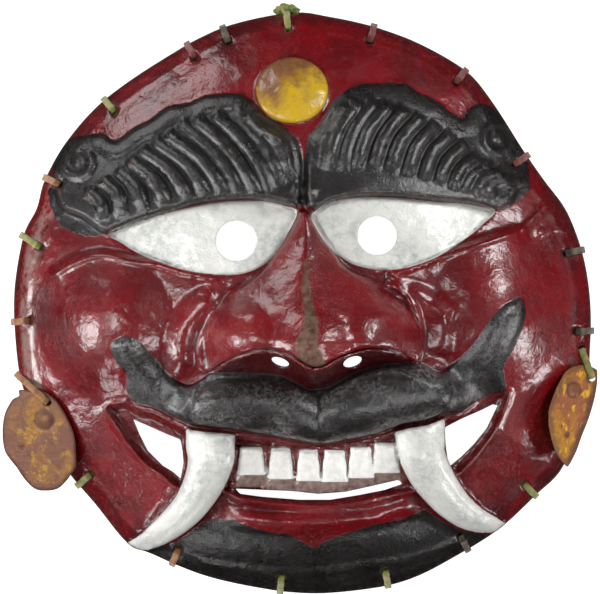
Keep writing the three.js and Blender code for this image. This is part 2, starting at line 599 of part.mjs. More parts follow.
const shell = sheetSolid(rim, holes, scattered, relief, (x, y, top) => {
  const d = depth(OUTLINE, [x, y]);
  if (d < RIM_FOOT + 0.3) return rimLift([x, y]);
  return top - SHEET * Math.min(STEEPEST, Math.hypot(1, slope(relief, x, y)));
});

// Ear discs: flat oval sheets hung by one tie each, leaning on the mask's side.
function disc(points, tilt, boss, laceHole) {
  const edge = spaced(loop(points), 8, true);
  const lean = ([x, y]) => tilt.across * x / UNIT - tilt.down * y / UNIT;
  const steep = Math.hypot(1, tilt.across / UNIT, tilt.down / UNIT);
  const centre = edge.reduce((a, p) => [a[0] + p[0] / edge.length, a[1] + p[1] / edge.length], [0, 0]);
  // The plate rests just clear of the face under it, however high the dome is.
  const over = [0.25, 0.5, 0.75, 1].flatMap(s => edge.map(p => [0, 1].map(k => mix(centre[k], p[k], s))))
    .filter(p => depth(OUTLINE, p) > 0);
  const seat = Math.max(...over.map(p => relief(...p) - lean(p))) + DISC_SHEET * steep + tilt.clear;
  const height = (x, y) => {
    const r = dist([x, y], at(boss.centre)) / (boss.radius * UNIT);
    return seat + lean([x, y]) + DISC_KNOB * Math.max(0, 1 - r * r);
  };
  const scatteredHere = [];
  const hole = laceHole ? [ring(laceHole, TIE_HOLE * 0.85, 8)] : [];
  const nearby = [...edge, ...hole.flat()];
  const add = p => {
    if (depth(edge, p) < 1 || hole.some(h => inside(h, p)) || nearby.some(q => dist(p, q) < 2.2)) return;
    nearby.push(p);
    scatteredHere.push(p);
  };
  [at(boss.centre), ...ring(at(boss.centre), boss.radius * UNIT, 8)].forEach(add);
  for (const s of [0.6]) edge.forEach(p => add([mix(centre[0], p[0], s), mix(centre[1], p[1], s)]));
  return sheetSolid(edge, hole, scatteredHere, height, (x, y, top) => top - DISC_SHEET * steep);
}
const LEFT_DISC = [[19, 390], [19, 396], [13, 399], [8, 406], [4, 415], [2, 427], [2, 440], [4, 451],
  [8, 458], [16, 468], [22, 477], [27, 483], [34, 489], [43, 491], [57, 489], [67, 480], [71, 474],
  [76, 467], [76, 454], [75, 438], [71, 425], [64, 411], [57, 401], [50, 395], [44, 392], [30, 390]];
const RIGHT_DISC = [[567, 370], [581, 365], [592, 367], [599, 372], [598, 382], [595, 399], [589, 419],
  [582, 436], [576, 452], [568, 466], [564, 464], [557, 455], [552, 443], [548, 426], [547, 416],
  [549, 406], [554, 392], [559, 382]];
const discs = {
  ear_disc_left: disc(LEFT_DISC, { across: 0.33, down: -0.13, clear: 1.1 },
    { centre: [44.6, 419.8], radius: 8 }, EAR_TIES[0].hole),
  ear_disc_right: disc(RIGHT_DISC, { across: -0.66, down: -0.02, clear: 0.4 },
    { centre: [573.7, 389.7], radius: 6 }, EAR_TIES[1].rim),
};

// Ties: a closed flat strip pulled tight round the metal between its hole and the rim.
function hull(points) {
  const sorted = [...points].sort((a, b) => a[0] - b[0] || a[1] - b[1]);
  const half = list => {
    const out = [];
    for (const p of list) {
      while (out.length > 1) {
        const [a, b] = [out[out.length - 2], out[out.length - 1]];
        if ((b[0] - a[0]) * (p[1] - a[1]) - (b[1] - a[1]) * (p[0] - a[0]) > 1e-6) break;
        out.pop();
      }
      out.push(p);
    }
    return out.slice(0, -1);
  };
  return [...half(sorted), ...half(sorted.reverse())];
}
function eased(poly, slack) {
  const out = [...poly];
  while (out.length > 4) {
    const n = out.length;
    const off = out.map((p, i) => reach([out[(i - 1 + n) % n], out[(i + 1) % n]], p).d);
    const least = off.indexOf(Math.min(...off));
    if (off[least] > slack) break;
    out.splice(least, 1);
  }
  return out;
}
function grown(poly, by) {
  const n = poly.length;
  return poly.flatMap((p, i) => {
    const [a, b] = [poly[(i - 1 + n) % n], poly[(i + 1) % n]];
    const unit = (q, r) => { const l = dist(q, r); return [(r[0] - q[0]) / l, (r[1] - q[1]) / l]; };
    const [u, v] = [unit(a, p), unit(p, b)];
    const turn = Math.acos(clamp(u[0] * v[0] + u[1] * v[1], -1, 1));
    const dirs = turn > 0.9 ? [u, v] : [[(u[0] + v[0]) / 2, (u[1] + v[1]) / 2]];
    return dirs.map(d => { const l = Math.hypot(...d); return [p[0] + d[1] / l * by, p[1] - d[0] / l * by]; });
  });
}
function tieSolid(hole, end, beyond, spans, width = TIE_WIDTH) {
  const length = dist(hole, end);
  const along = [(end[0] - hole[0]) / length, (end[1] - hole[1]) / length];
  const section = [];
  const first = TIE_THICK / 2 + TIE_GAP;
  for (let q = first; q <= length + beyond - (beyond ? 0 : first); q += 0.25) {
    for (const side of [-0.6, -0.3, 0, 0.3, 0.6]) {
      const p = [hole[0] + along[0] * q - along[1] * side * width, hole[1] + along[1] * q + along[0] * side * width];
      for (const span of spans) {
        const hit = span(p);
        if (hit) section.push([q, hit[0]], [q, hit[1]]);
      }
    }
  }
  const middle = eased(hull(section), 0.22);
  const outer = grown(middle, TIE_GAP + TIE_THICK);
  const inner = grown(middle, TIE_GAP);
  const shape = new THREE.Shape(outer.map(([q, z]) => new THREE.Vector2(q, z)));
  shape.holes.push(new THREE.Path(inner.map(([q, z]) => new THREE.Vector2(q, z))));
  const geometry = new THREE.ExtrudeGeometry(shape, { depth: width, bevelEnabled: false, curveSegments: 1 });
  geometry.translate(0, 0, -width / 2);
  const place = new THREE.Matrix4().makeBasis(new THREE.Vector3(along[0], along[1], 0),
    new THREE.Vector3(0, 0, 1), new THREE.Vector3(along[1], -along[0], 0));
  place.setPosition(hole[0], hole[1], 0);
  return geometry.applyMatrix4(place);
}

const LOOKS = {
  shell: [0x8c1420, 0.35, 0.3], disc: [0x8a6a2c, 0.5, 0.7], green: [0x6f7d3a, 0.9, 0],
  ochre: [0xb06a24, 0.9, 0], dark: [0x3a2c22, 0.9, 0], red: [0x8e3a34, 0.9, 0],
};
const part = new THREE.Group();
function add(name, geometry, look) {
  const [color, roughness, metalness] = LOOKS[look];
  const mesh = new THREE.Mesh(geometry, new THREE.MeshStandardMaterial({ color, roughness, metalness }));
  mesh.material.name = look;
  mesh.name = name;
  part.add(mesh);
}
add('mask_shell', shell.geometry, 'shell');
for (const [name, solid] of Object.entries(discs)) add(name, solid.geometry, 'disc');
LACING.forEach((tie, i) => add(`rim_tie_${String(i + 1).padStart(2, '0')}`,
  tieSolid(tie.hole, tie.rim, 4, [shell.span]), tie.colour));
EAR_TIES.forEach((tie, i) => add(tie.name, tieSolid(tie.hole, tie.rim, tie.beyond,
  [shell.span, Object.values(discs)[i].span], 2.2), tie.colour));

const box = new THREE.Box3().setFromObject(part);
const middle = box.getCenter(new THREE.Vector3());
part.traverse(node => node.isMesh && node.geometry.translate(-middle.x, -middle.y, -box.min.z));

export default part;
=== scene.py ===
# %% [markdown]
# # A demon mask hammered from one copper sheet
# The mask lies on its rim and looks straight up at the camera. Its whole face, with brows, moustache,
# teeth and tusks, is one sheet raised by hammer and then painted, so here it is one mesh too. Only the
# two ear discs and the strips of lacing are separate. We load the exact solids first: they fix the size
# and the place of everything, and each piece below is built inside them.

# %% Load the frame
import bpy
import numpy as np
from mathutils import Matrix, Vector
from mathutils.geometry import delaunay_2d_cdt


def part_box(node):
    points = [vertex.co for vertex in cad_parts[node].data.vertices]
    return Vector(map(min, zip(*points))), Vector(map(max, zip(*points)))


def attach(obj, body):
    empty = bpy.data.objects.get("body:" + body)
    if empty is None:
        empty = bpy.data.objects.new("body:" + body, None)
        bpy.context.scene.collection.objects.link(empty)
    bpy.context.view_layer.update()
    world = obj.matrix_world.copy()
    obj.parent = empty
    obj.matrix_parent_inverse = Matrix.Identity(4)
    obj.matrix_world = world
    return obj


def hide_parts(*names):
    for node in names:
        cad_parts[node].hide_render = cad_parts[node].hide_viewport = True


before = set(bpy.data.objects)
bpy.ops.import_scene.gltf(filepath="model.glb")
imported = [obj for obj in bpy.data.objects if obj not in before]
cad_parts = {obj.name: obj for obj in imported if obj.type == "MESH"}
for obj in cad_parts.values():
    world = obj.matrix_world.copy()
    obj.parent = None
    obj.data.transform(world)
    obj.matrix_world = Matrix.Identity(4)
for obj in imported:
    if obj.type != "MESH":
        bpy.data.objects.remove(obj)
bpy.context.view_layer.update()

# %% [markdown]
# ## Tracing tools
# The features were traced from straight above in picture units, 577 to the 300 mm width of the face.
# Everything that follows works in millimetres on that tracing, and is moved into the frame at the end.
# A smooth line through a few points stands for every edge a hammer would follow.

# %% Lines and distances
UNIT = 300 / 577   # millimetres in one step of the tracing
MIDDLE = (302.5, 302.0)


def at(points):
    """Traced pairs, across and down, as millimetres from the middle of the face."""
    p = np.reshape(np.array(points, float), (-1, 2))
    return np.c_[(p[:, 0] - MIDDLE[0]) * UNIT, (MIDDLE[1] - p[:, 1]) * UNIT]


def flowing(points, closed=False, steps=6):
    """A smooth line through points, with a few short steps in each span."""
    n, s = len(points), np.arange(steps)[:, None] / steps
    pick = (lambda i: points[i % n]) if closed else (lambda i: points[min(max(i, 0), n - 1)])
    runs = []
    for i in range(n if closed else n - 1):
        a, b, c, d = pick(i - 1), pick(i), pick(i + 1), pick(i + 2)
        runs.append(0.5 * (2 * b + (c - a) * s + (2 * a - 5 * b + 4 * c - d) * s**2
                           + (3 * b - a - 3 * c + d) * s**3))
    return np.vstack(runs if closed else runs + [points[-1:]])


def stroke(*points):
    return flowing(at(points))


def ring_of(*points):
    return flowing(at(points), closed=True)


def near(line, X, Y, closed=False):
    """Distance from each place to the line, how far along it, and on which side."""
    a = line if closed else line[:-1]
    b = np.roll(line, -1, 0) if closed else line[1:]
    best, where, side = np.full(X.shape, 1e9), np.zeros(X.shape), np.ones(X.shape)
    for i, (p, q) in enumerate(zip(a, b)):
        dx, dy = q - p
        t = np.clip(((X - p[0]) * dx + (Y - p[1]) * dy) / (dx * dx + dy * dy + 1e-12), 0, 1)
        ex, ey = X - p[0] - t * dx, Y - p[1] - t * dy
        d = ex * ex + ey * ey
        hit = d < best
        best = np.where(hit, d, best)
        where = np.where(hit, (i + t) / len(a), where)
        side = np.where(hit, np.sign(dx * ey - dy * ex), side)
    return np.sqrt(best), where, side


def within(loop, X, Y):
    odd = np.zeros(X.shape, bool)
    for (x0, y0), (x1, y1) in zip(loop, np.roll(loop, -1, 0)):
        if y0 != y1:
            odd ^= ((y0 > Y) != (y1 > Y)) & (X < (x1 - x0) * (Y - y0) / (y1 - y0) + x0)
    return odd


def depth(loop, X, Y):
    """Distance inside a closed line, in millimetres; less than 0 outside it."""
    return np.where(within(loop, X, Y), 1, -1) * near(loop, X, Y, True)[0]


def soft(a, b, x):
    t = np.clip((x - a) / (b - a), 0, 1)
    return t * t * (3 - 2 * t)


def fold(d, half):
    """A rounded ridge of height 1 that ends at half its width."""
    return np.where(d < half, (1 - (d / half) ** 2) ** 2, 0)


def mound(X, Y, centre, half, power=1.0):
    r = ((X - centre[0]) / half[0]) ** 2 + ((Y - centre[1]) / half[1]) ** 2
    return np.clip(1 - r, 0, None) ** power


def table(values, t):
    return np.interp(t, np.linspace(0, 1, len(values)), values)


def spaced(line, gap, closed=False):
    pts = np.vstack([line, line[:1]]) if closed else line
    run = np.r_[0, np.cumsum(np.hypot(*np.diff(pts, axis=0).T))]
    count = max(3, round(run[-1] / gap))
    s = np.linspace(0, run[-1], count + 1)[: count if closed else None]
    return np.c_[np.interp(s, run, pts[:, 0]), np.interp(s, run, pts[:, 1])]


def beside(points, offset, closed=False):
    if closed:
        run = np.roll(points, -1, 0) - np.roll(points, 1, 0)
    else:
        run = np.gradient(points, axis=0)
    run /= np.hypot(*run.T)[:, None] + 1e-9
    return points + np.c_[-run[:, 1], run[:, 0]] * offset


# %% [markdown]
# ## The traced features
# The face is drawn once, as edges: the rim, two brows with their combed ridges, eyes, nose, cheeks,
# moustache, mouth, teeth, tusks, lips and beard. The same edges later carry the relief and the paint,
# so a colour always ends where the metal turns.

# %% Rim, boss and brows
OUTLINE = ring_of(290,12, 330,16, 374,26, 420,43, 466,70, 492,100, 524,150, 545,180, 568,212, 584,256,
    591,300, 591,345, 586,400, 565,465, 536,496, 503,527, 468,550, 410,580, 350,592, 290,593, 210,578,
    150,554, 127,544, 95,505, 62,465, 36,420, 20,380, 14,330, 14,285, 23,235, 36,208, 44,180, 66,141,
    103,100, 160,60, 222,27)
BOSS = at((292, 91))[0]
BOSS_HALF = (36 * UNIT, 33 * UNIT)

LEFT_BROW = {
    "top": stroke(52,163, 64,143, 80,136, 103,134, 115,141, 134,128, 152,119, 168,107, 190,103, 205,96,
        225,94, 242,95, 254,104, 266,117, 282,126, 298,142, 303,165),
    "low": stroke(53,184, 61,208, 82,218, 96,228, 109,233, 141,221, 170,213, 200,204, 250,200, 285,205,
        299,208),
    "from": stroke(86,190, 105,176, 123,166, 135,153, 151,142, 166,133, 182,121, 201,116, 226,111,
        246,113, 262,118),
    "to": stroke(104,221, 130,218, 160,211, 190,202, 216,198, 238,196, 260,197, 279,194, 292,187,
        298,170),
    "curl": at((77, 162))[0], "band": 1.7,
}
RIGHT_BROW = {
    "top": stroke(305,165, 308,140, 321,122, 334,101, 345,92, 357,86, 370,84, 396,84, 407,85, 418,93,
        436,101, 450,112, 463,119, 468,110, 478,104, 490,106, 504,117, 522,147, 530,172),
    "low": stroke(307,208, 318,210, 330,203, 350,198, 375,197, 400,198, 430,201, 460,203, 480,206,
        495,210, 510,203, 518,191, 528,188),
    "from": stroke(345,104, 370,100, 396,106, 424,118, 450,132, 474,152, 494,168, 510,178),
    "to": stroke(315,172, 336,176, 362,172, 392,176, 420,184, 446,190, 466,196, 486,200),
    "curl": at((499, 138))[0], "band": 0.6,
}
COMBED = 13
CURL = 18 * UNIT


def part_way(line, t):
    s = t * (len(line) - 1)
    i = min(int(s), len(line) - 2)
    return line[i] + (line[i + 1] - line[i]) * (s - i)


BROW_PATCHES = [ring_of(48,186, 50,204, 58,222, 76,233, 98,236, 108,230, 84,216, 60,196),
                ring_of(524,165, 530,188, 514,204, 500,209, 484,206, 500,190, 512,176),
                ring_of(288,176, 305,160, 318,178, 320,196, 306,206, 290,198)]
KNOB = at((305, 192))[0]
for brow in (LEFT_BROW, RIGHT_BROW):
    brow["loop"] = np.vstack([brow["top"], brow["low"][::-1]])
    brow["hairs"] = []
    for i in range(COMBED):
        a, b = (part_way(brow[k], i / (COMBED - 1)) for k in ("from", "to"))
        bulge = np.array([np.sign(b[0] - a[0]) or 1, 1]) * 5 * UNIT
        brow["hairs"].append(flowing(np.array([a, (a + b) / 2 + bulge, b]), steps=4))
print("each brow has", COMBED, "combed ridges")

# %% Eyes and nose
LEFT_EYE = {
    "loop": ring_of(109,233, 141,221, 170,213, 200,206, 230,202, 262,202, 283,206, 297,212, 290,230,
        280,247, 270,260, 255,270, 235,275, 210,274, 185,270, 160,262, 140,254, 122,243),
    "hole": at((236.6, 241.2))[0], "radius": 10.5, "centre": at((215, 238))[0],
}
RIGHT_EYE = {
    "loop": ring_of(311,217, 318,210, 330,203, 350,199, 375,198, 400,199, 430,202, 460,204, 480,207,
        495,211, 483,224, 470,235, 450,249, 430,260, 405,268, 380,270, 357,266, 340,257, 328,246,
        318,232),
    "hole": at((376.9, 236))[0], "radius": 10.1, "centre": at((395, 235))[0],
}
EYE_HALF = 80 * UNIT
NOSE = ring_of(302,212, 296,222, 286,240, 266,268, 250,282, 234,291, 222,301, 212,313, 206,325,
    201,340, 201,358, 207,371, 232,358, 262,349, 290,354, 315,367, 340,356, 368,348, 398,352, 416,363,
    419,354, 419,337, 414,319, 404,303, 394,287, 372,279, 346,268, 327,243, 314,222)
NOSE_RIDGE = stroke(302,205, 305,220, 306,234, 307,272, 312,307, 313,337, 315,367)
NOSE_SPAN = (at((302, 212))[0, 1], at((315, 367))[0, 1])
NOSE_HALF = np.array([6, 22, 45, 78, 104, 107, 107]) * UNIT
NOSE_RISE = [7, 11, 17, 24, 31, 36, 35]
NOSE_FRONT = stroke(207,371, 232,358, 262,349, 290,354, 315,367, 340,356, 368,348, 398,352, 416,363)
BRIDGE = stroke(307,262, 306,290, 311,318, 308,350, 318,372)
NOSTRILS = [(at((280.5, 361))[0], (9 * UNIT, 3.8 * UNIT), -0.35),
            (at((352, 361))[0], (9.5 * UNIT, 4.8 * UNIT), 0.35)]

# %% Cheeks and moustache
CHEEKS = [
    (stroke(45,284, 60,272, 76,263, 101,256, 134,262, 160,266, 187,274, 215,279, 240,285),
     at((107, 326))[0], (70 * UNIT, 78 * UNIT)),
    (stroke(385,276, 400,272, 422,264, 451,254, 479,245, 506,236, 528,230),
     at((500, 312))[0], (70 * UNIT, 84 * UNIT)),
]
FOLDS = [(stroke(224,297, 202,307, 186,326, 181,350, 190,376), 21 * UNIT, 5.5),
         (stroke(404,292, 430,310, 440,334, 436,358), 17 * UNIT, 3.5)]
WING_FOLDS = [(stroke(236,289, 222,299, 209,316, 202,335, 199,353, 203,372), 2.0, 1.5),
              (stroke(384,281, 396,288, 407,299, 416,314, 420,335, 417,364), 2.8, 2.6)]
CREASES = [(stroke(392,287, 408,289, 423,294, 438,305, 452,317), 6.5, 2.4),
           (stroke(38,250, 48,236, 58,216), 3.0, 1.8),
           (stroke(520,232, 534,218, 548,204), 3.4, 2.2),
           (stroke(536,236, 556,228, 574,236), 3.0, 1.8)]
MOUSTACHE = ring_of(112,346, 120,338, 132,337, 143,344, 155,357, 171,375, 188,385, 203,379, 212,373,
    234,372, 260,373, 284,376, 307,388, 318,388, 331,385, 351,373, 373,366, 395,363, 420,363, 437,372,
    445,369, 461,356, 476,339, 488,321, 502,306, 512,300, 519,298, 524,305, 524,318, 520,331, 511,351,
    503,366, 504,378, 504,390, 483,396, 461,411, 447,412, 425,420, 403,424, 373,434, 348,439, 326,443,
    305,441, 276,436, 247,431, 225,428, 195,425, 182,420, 159,408, 137,402, 127,389, 128,375, 117,361)
MOUSTACHE_TOP = stroke(188,385, 203,379, 212,373, 234,372, 260,373, 284,376, 307,388, 318,388, 331,385,
    351,373, 373,366, 395,363, 420,363, 437,372)
LIP = stroke(160,394, 190,405, 225,406, 265,408, 300,416, 318,419, 345,413, 385,400, 420,395, 450,393,
    478,386)
LIP_HALF = np.array([10, 15, 24, 27, 27, 26, 27, 30, 28, 20, 12]) * UNIT
LIP_LINES = [(stroke(345,386, 362,375, 385,370, 406,372, 421,380, 431,392), 2.0, 1.6),
             (stroke(203,386, 192,402, 184,420), 1.7, -2.0),
             (stroke(446,382, 452,394, 448,408), 1.7, -1.6),
             (stroke(124,366, 142,390, 164,405, 186,416), 3.4, 1.8)]
HORNS = [stroke(125,341, 135,355, 150,375, 165,391),
         stroke(515,303, 505,325, 492,348, 475,372, 462,390)]

# %% Mouth, teeth, tusks and chin
MOUTH = ring_of(107,408, 130,402, 159,408, 182,420, 225,428, 276,436, 326,443, 373,434, 403,424,
    447,412, 483,396, 508,391, 497,425, 480,450, 462,470, 455,474, 417,489, 385,494, 350,501, 318,504,
    280,502, 240,497, 225,491, 180,487, 162,474, 148,465, 134,450, 122,434)
GAPS = [at(g) for g in (
    ((134, 419), (148, 425), (166, 433), (181, 439), (183, 450), (184, 462), (181, 478), (173, 471),
     (163, 465), (148, 450), (140, 434)),
    ((497, 405), (492, 404), (482, 409), (461, 418), (444, 427), (445, 444), (447, 458), (450, 465),
     (461, 456), (473, 444), (486, 428)),
    ((236, 488), (262, 489), (290, 490), (318, 493), (345, 491), (372, 485), (398, 479), (402, 483),
     (385, 489), (360, 494), (330, 499), (300, 499), (262, 496), (240, 493)))]
TEETH = [(240, 263, 446, 474), (271, 291, 447, 478), (299, 318, 449, 480), (324, 345, 449, 481),
         (350, 371, 446, 477), (374, 397, 442, 472)]
TUSKS = [
    (stroke(211,430, 211,445, 211,460, 205,480, 192,503, 176,520, 158,534, 143,543, 128,546),
     np.array([24, 24, 22.5, 20, 17, 15, 12, 8.5, 3]) * UNIT),
    (stroke(419,426, 420,440, 422,455, 431,475, 446,496, 463,512, 480,521, 497,526, 505,526),
     np.array([25, 24.5, 22.5, 21, 18, 15, 11.5, 7, 3]) * UNIT),
]
TUSK_RISE = [9, 13, 16, 16, 15, 13, 11, 8, 5]
LOWER_LIPS = [(stroke(228,496, 260,503, 318,508, 370,502, 414,491), 3.6, 2.6),
              (stroke(217,515, 260,520, 300,522, 359,517, 394,511, 420,503), 8.0, 5.2)]
CHIN, CHIN_HALF = at((312, 552))[0], (150 * UNIT, 44 * UNIT)
CHIN_CREASE = stroke(140,551, 180,562, 239,568, 300,573, 357,566, 415,557, 464,538)
BEARD = at(list(zip(
    (138, 140, 173, 194, 206, 217, 235, 247, 269, 291, 305, 314, 329, 351, 373, 403, 425, 441, 461, 478,
     500, 480, 400, 300, 200, 120),
    (560, 552, 544, 531, 522, 518, 519, 525, 531, 534, 543, 547, 538, 531, 524, 518, 509, 521, 531, 534,
     540, 600, 620, 620, 620, 590))))
print("traced the mouth with", len(TEETH), "teeth and", len(TUSKS), "tusks")

# %% [markdown]
# ## Lacing stations
# Strips were once laced through holes near the rim to hold a lining. Where each crosses the rim, the
# edge is beaten up a little, so the mask rests on metal and not on the strips.

# %% Where the ties sit
TIE_REACH, TIE_HOLE = 8.0, 2.2
TIES = [((286, 8), "green", None), ((222, 25), "dark", None), ((186, 42), "red", None),
        ((103, 98), "green", None), ((46, 178), "ochre", None), ((22, 236), "green", (40, 247)),
        ((13, 322), "ochre", None), ((78, 485), "green", None), ((172, 564), "ochre", None),
        ((280, 593), "green", None), ((388, 586), "green", None), ((468, 550), "dark", None),
        ((536, 496), "green", None), ((591, 331), "dark", None), ((582, 250), "dark", (567, 253)),
        ((528, 155), "red", None), ((466, 70), "red", None), ((374, 26), "red", None)]
EAR_TIES = [("ear_tie_left", "ochre", at((48, 402))[0], at((18, 376))[0]),
            ("ear_tie_right", "green", at((582, 349))[0], at((592.5, 378))[0])]


def on_rim(point):
    t = near(OUTLINE, *point[:, None], True)[1][0] * len(OUTLINE)
    i = int(t) % len(OUTLINE)
    return OUTLINE[i] + (OUTLINE[(i + 1) % len(OUTLINE)] - OUTLINE[i]) * (t - int(t))


lacing = []
for rim, colour, hole in TIES:
    edge = on_rim(at(rim)[0])
    turn = np.linspace(0, 2 * np.pi, 72, endpoint=False)
    round_it = edge + TIE_REACH * np.c_[np.cos(turn), np.sin(turn)]
    inward = round_it[np.argmax(depth(OUTLINE, *round_it.T))]
    lacing.append((edge, inward if hole is None else at(hole)[0], colour))
LIFTS = [t[0] for t in lacing] + [at((19, 378))[0], at((589, 366))[0], at((590, 374))[0]]
print(len(lacing), "strips of lacing and", len(EAR_TIES), "ear ties")

# %% [markdown]
# ## The relief
# Seen from above, no part of the face hides another, so its whole shape is one number for each place:
# the height of the sheet. A smooth dome comes first. On it each feature is added as the smith would:
# cheeks pushed out, brows combed, eyes and mouth set back, nose and tusks driven highest.

# %% Height of the sheet
RIM_EDGE, DOME, RIM_LIFT, SHEET, STEEPEST, RIM_FOOT = 1.8, 62.0, 2.7, 1.2, 3.2, 1.5


def dome(d):
    return RIM_EDGE + DOME * (1 - (1 - np.clip(d / 150, 0, 1)) ** 2.2) ** 0.625


def rim_lift(X, Y):
    lift = np.zeros(X.shape)
    for p in LIFTS:
        lift = np.maximum(lift, 1 - soft(2.6, 9, np.hypot(X - p[0], Y - p[1])))
    return RIM_LIFT * lift


def faded(line, X, Y, half, ends=0.14):
    """A ridge of height 1 along a line, sinking to nothing at both ends."""
    d, t, _ = near(line, X, Y)
    return fold(d, half) * soft(0, ends, t) * soft(1, 1 - ends, t)


def ridges(group, X, Y, ends=0.14):
    return sum(tall * faded(line, X, Y, half, ends) for line, half, tall in group)


def brow_rise(brow, X, Y):
    s = depth(brow["loop"], X, Y)
    top, low = near(brow["top"], X, Y)[0], near(brow["low"], X, Y)[0]
    first, second = np.full(X.shape, 1e8), np.full(X.shape, 2e8)
    along, strand = np.zeros(X.shape), np.zeros(X.shape)
    for i, line in enumerate(brow["hairs"]):
        d, t, _ = near(line, X, Y)
        closer = d < first
        second = np.where(closer, first, np.minimum(second, d))
        along, strand = np.where(closer, t, along), np.where(closer, i, strand)
        first = np.minimum(first, d)
    groove = np.clip(first / 3.7, 0, 1) ** 4
    tall = 4.0 + 0.8 * np.sin(strand * 2.4)
    tall *= 1 + 0.5 * dimples(X, Y, 500, 6, 1.0, 41)
    comb = tall * (1 - groove) * soft(0, 0.06, along) * soft(1, 0.7, along) * soft(3.5, 7, top)
    band = brow["band"] * soft(-0.2, 1.8, top) * soft(10, 6.5, top)
    curl = np.hypot(X - brow["curl"][0], Y - brow["curl"][1]) / CURL
    knob = 2.6 * fold(abs(curl - 0.82), 0.33) + 2.4 * fold(curl, 0.34)
    carved = np.where(curl < 1.1, np.maximum(knob, band * soft(0.7, 1.1, curl)), band + comb)
    return soft(-0.8, 2.2, s) * (1.4 + 7.5 * top / (top + low + 1e-6) + carved), s


def nose_rise(X, Y):
    t = np.clip((NOSE_SPAN[0] - Y) / (NOSE_SPAN[0] - NOSE_SPAN[1]), 0, 1)
    middle = np.interp(-Y, -NOSE_RIDGE[:, 1], NOSE_RIDGE[:, 0])
    across = abs(X - middle) / table(NOSE_HALF, t)
    slope = table(NOSE_RISE, t) * np.clip(1 - across ** (1.25 + 0.55 * t) * 0.92, 0, None)
    wings = 7.5 * (mound(X, Y, at((238, 336))[0], (38 * UNIT, 42 * UNIT), 1.3)
                   + mound(X, Y, at((384, 330))[0], (38 * UNIT, 42 * UNIT), 1.3))
    return slope + wings + 4 * mound(X, Y, at((313, 345))[0], (42 * UNIT, 36 * UNIT))


def blend(a, b, t):
    return a + (b - a) * t


def add_cheeks(z, X, Y):
    for lid, centre, half in CHEEKS:
        d, t, side = near(lid, X, Y)
        crest = np.where(side > 0, fold(d, 5.0), np.clip(1 - d / 19, 0, 1) ** 2)
        z = z + 14.5 * mound(X, Y, centre, half, 1.45)
        z += (4.2 * crest + 1.5 * fold(d, 1.7)) * soft(0, 0.12, t) * soft(1, 0.86, t)
    return z + ridges(FOLDS, X, Y, 0.2) + ridges(CREASES, X, Y)


OUTSIDE = -99.0   # well away from a painted region, in millimetres


